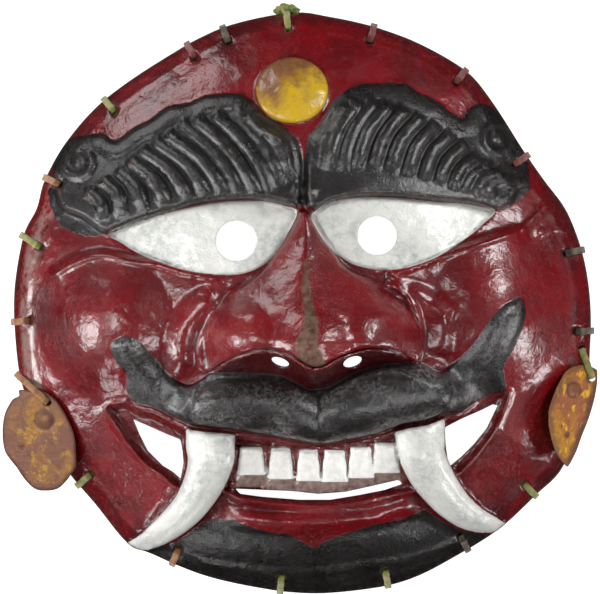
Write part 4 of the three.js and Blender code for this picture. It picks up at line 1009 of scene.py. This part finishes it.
def painted_sheet():
    material, b, coat = finish_coat("painted_sheet", Specular_IOR_Level=0.28)
    mark = {key: b.mark(key) for key in ("rim", "brow", "boss", "eye", "mouth", "tooth", "tusk", "tache",
                                         "beard", "strip", "gap", "bare", "under_nose_shade", "turn", "under")}
    mottle = b.ramp(b.noise(34, 4, 0.6), 0.3, 0.7)
    fine = b.ramp(b.noise(300, 4, 0.6), 0.3, 0.7)
    wear = b.group(WEAR, Turn=mark["turn"], Rubbed=1.7, Dirty=0.45)
    bare, grime_and_shade, chips = (wear.node.outputs[k] for k in ("Bare", "Shaded_grime", "Chips"))

    wobbles = {"mouth": 0.7, "tooth": 0.4, "strip": 0.5, "brow": 3.4, "tache": 1.2, "beard": 1.6, "eye": 0.5,
               "tusk": 0.4, "boss": 0.5, "gap": 0.8}
    over = {key: b.group(PAINT_EDGE, Distance=mark[key], Wobble=wobble) for key, wobble in wobbles.items()}
    red = b.blend(mottle, RED_DEEP, RED)
    red = b.blend(b.mul(b.ramp(b.noise(560, 5, 0.7), 0.5, 0.7), 0.4), red, shade(58, 6, 10))
    soot = b.mul(b.ramp(mark["rim"], 34.0, 6.0), b.ramp(b.noise(42, 5, 0.65), 0.44, 0.62))
    red = b.blend(b.mul(soot, 0.7), red, shade(56, 14, 16))
    rubbed_dull = b.ramp(b.noise(480, 5, 0.75), 0.52, 0.66)
    rubbed_dull = b.mul(rubbed_dull, b.ramp(b.noise(26, 3, 0.5, 0.8), 0.44, 0.62))
    red = b.blend(b.mul(rubbed_dull, 0.45), red, shade(122, 74, 70))
    # Painted sheen with dust: light grey patches on the black, strongest on crests and on the moustache,
    # stand in for the lacquer's shine as well as dust.
    dust_and_sheen = b.ramp(b.noise(520, 5, 0.7), 0.4, 0.62)
    dust_and_sheen = b.mul(dust_and_sheen, b.ramp(b.noise(55, 3), 0.38, 0.62))
    dust_and_sheen = b.mul(dust_and_sheen, b.ramp(mark["turn"], -0.2, 0.9, 0.15, 1.0))
    black = b.blend(fine, BLACK, BLACK_WARM)
    black = b.blend(b.mul(dust_and_sheen, b.line(over["tache"], 0.75, 0.15)), black, shade(112, 108, 108))
    white = b.blend(b.mul(fine, mottle), WHITE, WHITE_DULL)
    crack = b.put("TexVoronoi", {"Vector": b.put("VectorMath", {0: b.where, 1: b.put(
        "VectorMath", {0: b.put("TexNoise", {"Vector": b.where, "Scale": 120.0}, out=1), "Scale": 0.006},
        operation="SCALE")}, operation="ADD"), "Scale": 95.0}, feature="DISTANCE_TO_EDGE")
    crack = b.mul(b.ramp(crack, 0.05, 0.0), b.ramp(b.noise(70, 2), 0.46, 0.6))
    white = b.blend(b.mul(crack, 0.3), white, shade(150, 150, 148))
    # Painted reflection: a pale pinkish band along the rim on the left side only, where the steep flange
    # would mirror the white table.
    side = b.put("SeparateXYZ", {0: b.where})
    left_rim_reflection = b.mul(b.ramp(mark["rim"], 2.0, 5.0), b.ramp(mark["rim"], 13.0, 8.0))
    left_rim_reflection = b.mul(left_rim_reflection, b.ramp(side, -0.118, -0.134))
    left_rim_reflection = b.mul(left_rim_reflection, b.ramp(b.noise(120, 5, 0.65), 0.36, 0.56))
    red = b.blend(b.mul(left_rim_reflection, 0.7), red, shade(140, 114, 108))
    across = b.put("VectorMath", {0: b.where, 1: YELLOWER}, out=1, operation="DOT_PRODUCT")
    bright = b.line(b.noise(120, 5, 0.7), 0.05, across)
    gold = b.blend(b.ramp(bright, GOLD_FROM, GOLD_FROM + 0.026), shade(112, 72, 44), shade(196, 158, 20))
    dark = b.most(b.most(over["brow"], over["tache"]), over["beard"])
    pale = b.most(b.most(over["eye"], over["tusk"]), over["tooth"])

    # Painted shade: inside the mouth, under the moustache and along the turned lip, the red is darker and
    # browner than on the face.
    colour = b.blend(over["mouth"], red, b.blend(fine, shade(76, 10, 14), shade(104, 30, 30)))
    colour = b.blend(b.mul(over["gap"], 0.8), colour, b.blend(fine, shade(96, 24, 26), shade(150, 86, 80)))
    # Painted shade: the turned-under lower edge of each tooth is greyish brown in place of white.
    colour = b.blend(over["strip"], colour, b.blend(fine, shade(116, 92, 86), shade(150, 130, 122)))
    # Painted light: the teeth get a brighter white than the eyes and tusks, which makes up for the shade in
    # the mouth.
    colour = b.blend(over["tooth"], colour, b.blend(b.mul(fine, 0.3), shade(242, 240, 235), WHITE_DULL))
    brushed = {"beard": black, "brow": black, "tache": black, "eye": white, "boss": gold, "tusk": white}
    for key, tint in brushed.items():
        colour = b.blend(over[key], colour, tint)
    spilt = b.mul(b.ramp(b.noise(480, 6, 0.7), 0.62, 0.68), b.ramp(b.noise(64, 2), 0.52, 0.62))
    spilt = b.mul(spilt, b.most(over["tusk"], over["tooth"]))
    colour = b.blend(b.mul(spilt, 0.75), colour, shade(160, 52, 58))
    # Painted shade under the nose: the red there is darkened towards a deep brown-red.
    colour = b.blend(b.mul(mark["under_nose_shade"], 0.75), colour, shade(52, 8, 10))

    lip = b.ramp(b.line(fine, 1.6, mark["rim"]), 2.6, 0.8)
    rubbed = b.mul(b.mul(bare, b.ramp(b.noise(110, 2), 0.5, 0.6)), b.line(dark, 0.35, 0.1))
    metal = b.most(b.most(rubbed, b.mul(lip, 0.6)),
                   b.mul(mark["bare"], b.ramp(fine, 0.0, 0.35, 0.7, 1.0)))
    metal = b.most(metal, b.mul(chips, b.math("SUBTRACT", 1.0, pale)))
    colour = b.blend(metal, colour, b.blend(fine, COPPER_DARK, BRONZE))
    # Painted shade with grime in the hollows: grooves go near black on the black paint and deep red
    # elsewhere.
    dirt_and_shade = b.mul(grime_and_shade, b.line(dark, 0.5, 0.45))
    colour = b.blend(dirt_and_shade, colour, b.blend(dark, shade(52, 6, 10), shade(11, 8, 8)))
    colour = b.blend(mark["under"], colour, b.blend(mottle, COPPER_DARK, shade(116, 70, 48)))
    metallic = b.most(b.most(b.mul(metal, 0.45), b.mul(mark["under"], 0.8)), b.mul(pale, 0.12))
    worn = b.ramp(b.noise(85, 4, 0.6), 0.38, 0.62, 0.24, 0.04)
    rough = b.line(dark, worn, b.line(fine, 0.12, 0.17))
    rough = b.line(pale, 0.14, b.most(rough, b.mul(b.most(metal, dirt_and_shade), 0.55)))
    gloss = b.line(b.most(dirt_and_shade, pale), -0.42, b.line(dark, 0.1, 0.9))
    metal_blows = b.group(BEATEN, Broad=1.0, Dents=0.5, Grain=b.line(dark, 0.4, 0.4))
    lacquer_blows = b.group(BEATEN, Broad=0.5, Dents=0.2, Grain=b.line(dark, 0.16, 0.06))
    b.wire(coat, Base_Color=colour, Metallic=metallic, Roughness=rough,
           Coat_Weight=b.mul(b.math("SUBTRACT", 1.0, b.most(metal, mark["under"])), gloss),
           Coat_Roughness=b.line(dark, 0.07, 0.14), Normal=b.bump(metal_blows, 0.8, 0.0012),
           Coat_Normal=b.bump(lacquer_blows, 1.0, 0.001))
    return material


mask.data.materials.append(painted_sheet())

# %% [markdown]
# ## Metal of the discs
# The plates were gilded or painted yellow once. Now a warm brown shows through in broad worn patches,
# darker at the edge and round the knob.

# %% Disc metal
def disc_metal(name, gold, brown, fleck):
    material, b, coat = finish_coat(name, Specular_IOR_Level=0.3)
    wear = b.group(WEAR, Turn=b.mark("turn"), Rubbed=0.08, Dirty=0.02)
    grime_and_shade = wear.node.outputs["Shaded_grime"]
    patch = b.ramp(b.noise(70, 6, 0.7, 0.6), 0.4, 0.56)
    speck = b.ramp(b.noise(700, 5, 0.7), 0.35, 0.7)
    colour = b.blend(patch, gold, brown)
    colour = b.blend(b.mul(speck, 0.5), colour, shade(110, 62, 40))
    colour = b.blend(b.mul(b.ramp(b.noise(200, 3), 0.56, 0.66), 0.8), colour, fleck)
    # Hollows darkened: grime together with painted shade.
    colour = b.blend(b.mul(grime_and_shade, 0.75), colour, shade(62, 40, 34))
    knob = b.ramp(b.mark("knob"), -0.4, 0.3)
    colour = b.blend(b.mul(knob, 0.7), colour, shade(96, 60, 48))
    ragged = b.line(b.noise(130, 5, 0.65), -9.0, b.mark("rim"))
    colour = b.blend(b.mul(b.ramp(ragged, 0.0, -3.4), 0.75), colour, shade(92, 56, 44))
    spots = b.ramp(b.noise(320, 5, 0.7), 0.6, 0.68)
    colour = b.blend(b.mul(spots, 0.7), colour, shade(62, 38, 32))
    b.wire(coat, Base_Color=colour, Metallic=b.line(patch, -0.15, 0.25), Roughness=b.line(speck, 0.2, 0.42),
           Normal=b.bump(b.group(BEATEN, Broad=0.5, Grain=0.35), 0.5, 0.0008))
    return material


# One gilt in two copies: the left plate's is darker, as painted shade, and the right plate's is lighter, as
# painted light, following how each plate is lit.
GILT = ((left_disc, "gilt_left_shaded", (126, 88, 28), (98, 58, 38), (146, 108, 26)),
        (right_disc, "gilt_right_lit", (182, 128, 34), (146, 84, 48), (214, 166, 30)))
for disc, name, *tints in GILT:
    disc.data.materials.append(disc_metal(name, *(shade(*tint) for tint in tints)))

# %% [markdown]
# ## Cloth of the laces
# Torn cotton strips, faded and dusty. Their thread shows as a fine criss-cross, which is bump only, and
# the dye has bleached in patches.

# %% Dyed cloth
def dyed_cloth(name, fresh, faded):
    material, b, coat = finish_coat("cloth_" + name, Sheen_Weight=0.25, Sheen_Roughness=0.5,
                                    Specular_IOR_Level=0.2)
    bleach = b.ramp(b.noise(260, 4, 0.6), 0.35, 0.65)
    warp, weft = (b.put("TexWave", {"Vector": b.where, "Scale": 900.0, "Distortion": 1.5, "Detail": 1.0},
                        out=1, bands_direction=d) for d in ("X", "Y"))
    weave = b.mul(warp, weft)
    colour = b.blend(bleach, fresh, faded)
    colour = b.blend(b.mul(weave, 0.35), colour, shade(34, 26, 20))
    b.wire(coat, Base_Color=colour, Roughness=b.line(bleach, 0.1, 0.82), Normal=b.bump(weave, 0.6, 0.0003))
    return material


DYES = {"green": ((98, 122, 54), (158, 142, 88)), "ochre": ((132, 74, 50), (158, 118, 74)),
        "dark": ((44, 32, 26), (96, 84, 62)), "red": ((96, 36, 34), (132, 74, 66))}
for seed, (colour, dyes) in enumerate(DYES.items()):
    cloth = dyed_cloth(colour, *(shade(*dye) for dye in dyes))
    strips = laces(colour, cloth, float(seed))
    if not strips.data.materials:
        strips.data.materials.append(cloth)

# %% [markdown]
# ## Table, light and camera
# The mask lies on a white table that glows a little, so that the pupils and the gaps of the mouth read
# as white as the table round it. Seven small soft lamps stand low round it, each where one patch of
# lacquer mirrors it to the camera. A broad lamp higher up only fills: the lacquer doesn't mirror it,
# and it doesn't mirror the table, because both would lie on the red as a grey veil.

# %% Stage
def stage():
    bpy.ops.mesh.primitive_plane_add(size=6)
    floor = bpy.context.object
    floor.name = "table_top"
    material, _, coat = finish_coat("white_table", Roughness=0.9, Specular_IOR_Level=0.1)
    coat.inputs["Base Color"].default_value = shade(150, 150, 150)
    coat.inputs["Emission Color"].default_value = (1, 1, 1, 1)
    coat.inputs["Emission Strength"].default_value = 1.0
    floor.data.materials.append(material)
    floor.visible_glossy = False


def softbox(name, azimuth, lift, size, watts, far=1.4, mirrored=True):
    """A soft lamp on a sphere round the mask, by its two angles in degrees."""
    turn, tilt = np.radians((azimuth, lift))
    place = Vector((np.cos(tilt) * np.cos(turn), np.cos(tilt) * np.sin(turn), np.sin(tilt))) * far
    lamp = bpy.data.lights.new(name, "AREA")
    lamp.shape, lamp.size, lamp.size_y, lamp.energy = "RECTANGLE", *size, watts
    holder = bpy.data.objects.new(name, lamp)
    bpy.context.collection.objects.link(holder)
    holder.location = place
    holder.rotation_euler = (Vector((0, 0, 0.05)) - place).to_track_quat("-Z", "Y").to_euler()
    holder.visible_glossy = mirrored


stage()
softbox("tall_window", 126, 10, (0.55, 0.55), 5)
softbox("left_window", 189, 17, (0.55, 0.55), 14.5)
softbox("left_high", 178, 57, (0.56, 0.5), 8.5)
softbox("right_window", 34, 32, (0.46, 0.48), 12)
softbox("right_low", -20, 6, (0.32, 0.4), 6.5)
softbox("low_left", -124, 16, (0.28, 0.28), 3)
softbox("front_low", -45, 55, (0.4, 0.34), 6)
softbox("ceiling", 130, 54, (1.2, 1.2), 5, 2.5, mirrored=False)
world = bpy.data.worlds.new("studio")
world.use_nodes = True
world.node_tree.nodes["Background"].inputs[0].default_value = (1, 1, 1, 1)
world.node_tree.nodes["Background"].inputs[1].default_value = 0.02
bpy.context.scene.world = world
bpy.context.scene.view_settings.view_transform = "Standard"

# %% Camera
PICTURE = (600, 594)
FAR, SENSOR = 6.0, 36
middle = (at((PICTURE[0] / 2, PICTURE[1] / 2))[0] + SHIFT[:2]) / 1000
lens = bpy.data.cameras.new("above")
lens.sensor_width = SENSOR
lens.lens = SENSOR * FAR / (PICTURE[0] * UNIT / 1000)
lens.clip_end = 50
camera = bpy.data.objects.new("above", lens)
bpy.context.collection.objects.link(camera)
camera.location = (middle[0], middle[1], FAR + 0.02)
bpy.context.scene.camera = camera
print("lens", round(lens.lens), "mm from", FAR, "m")
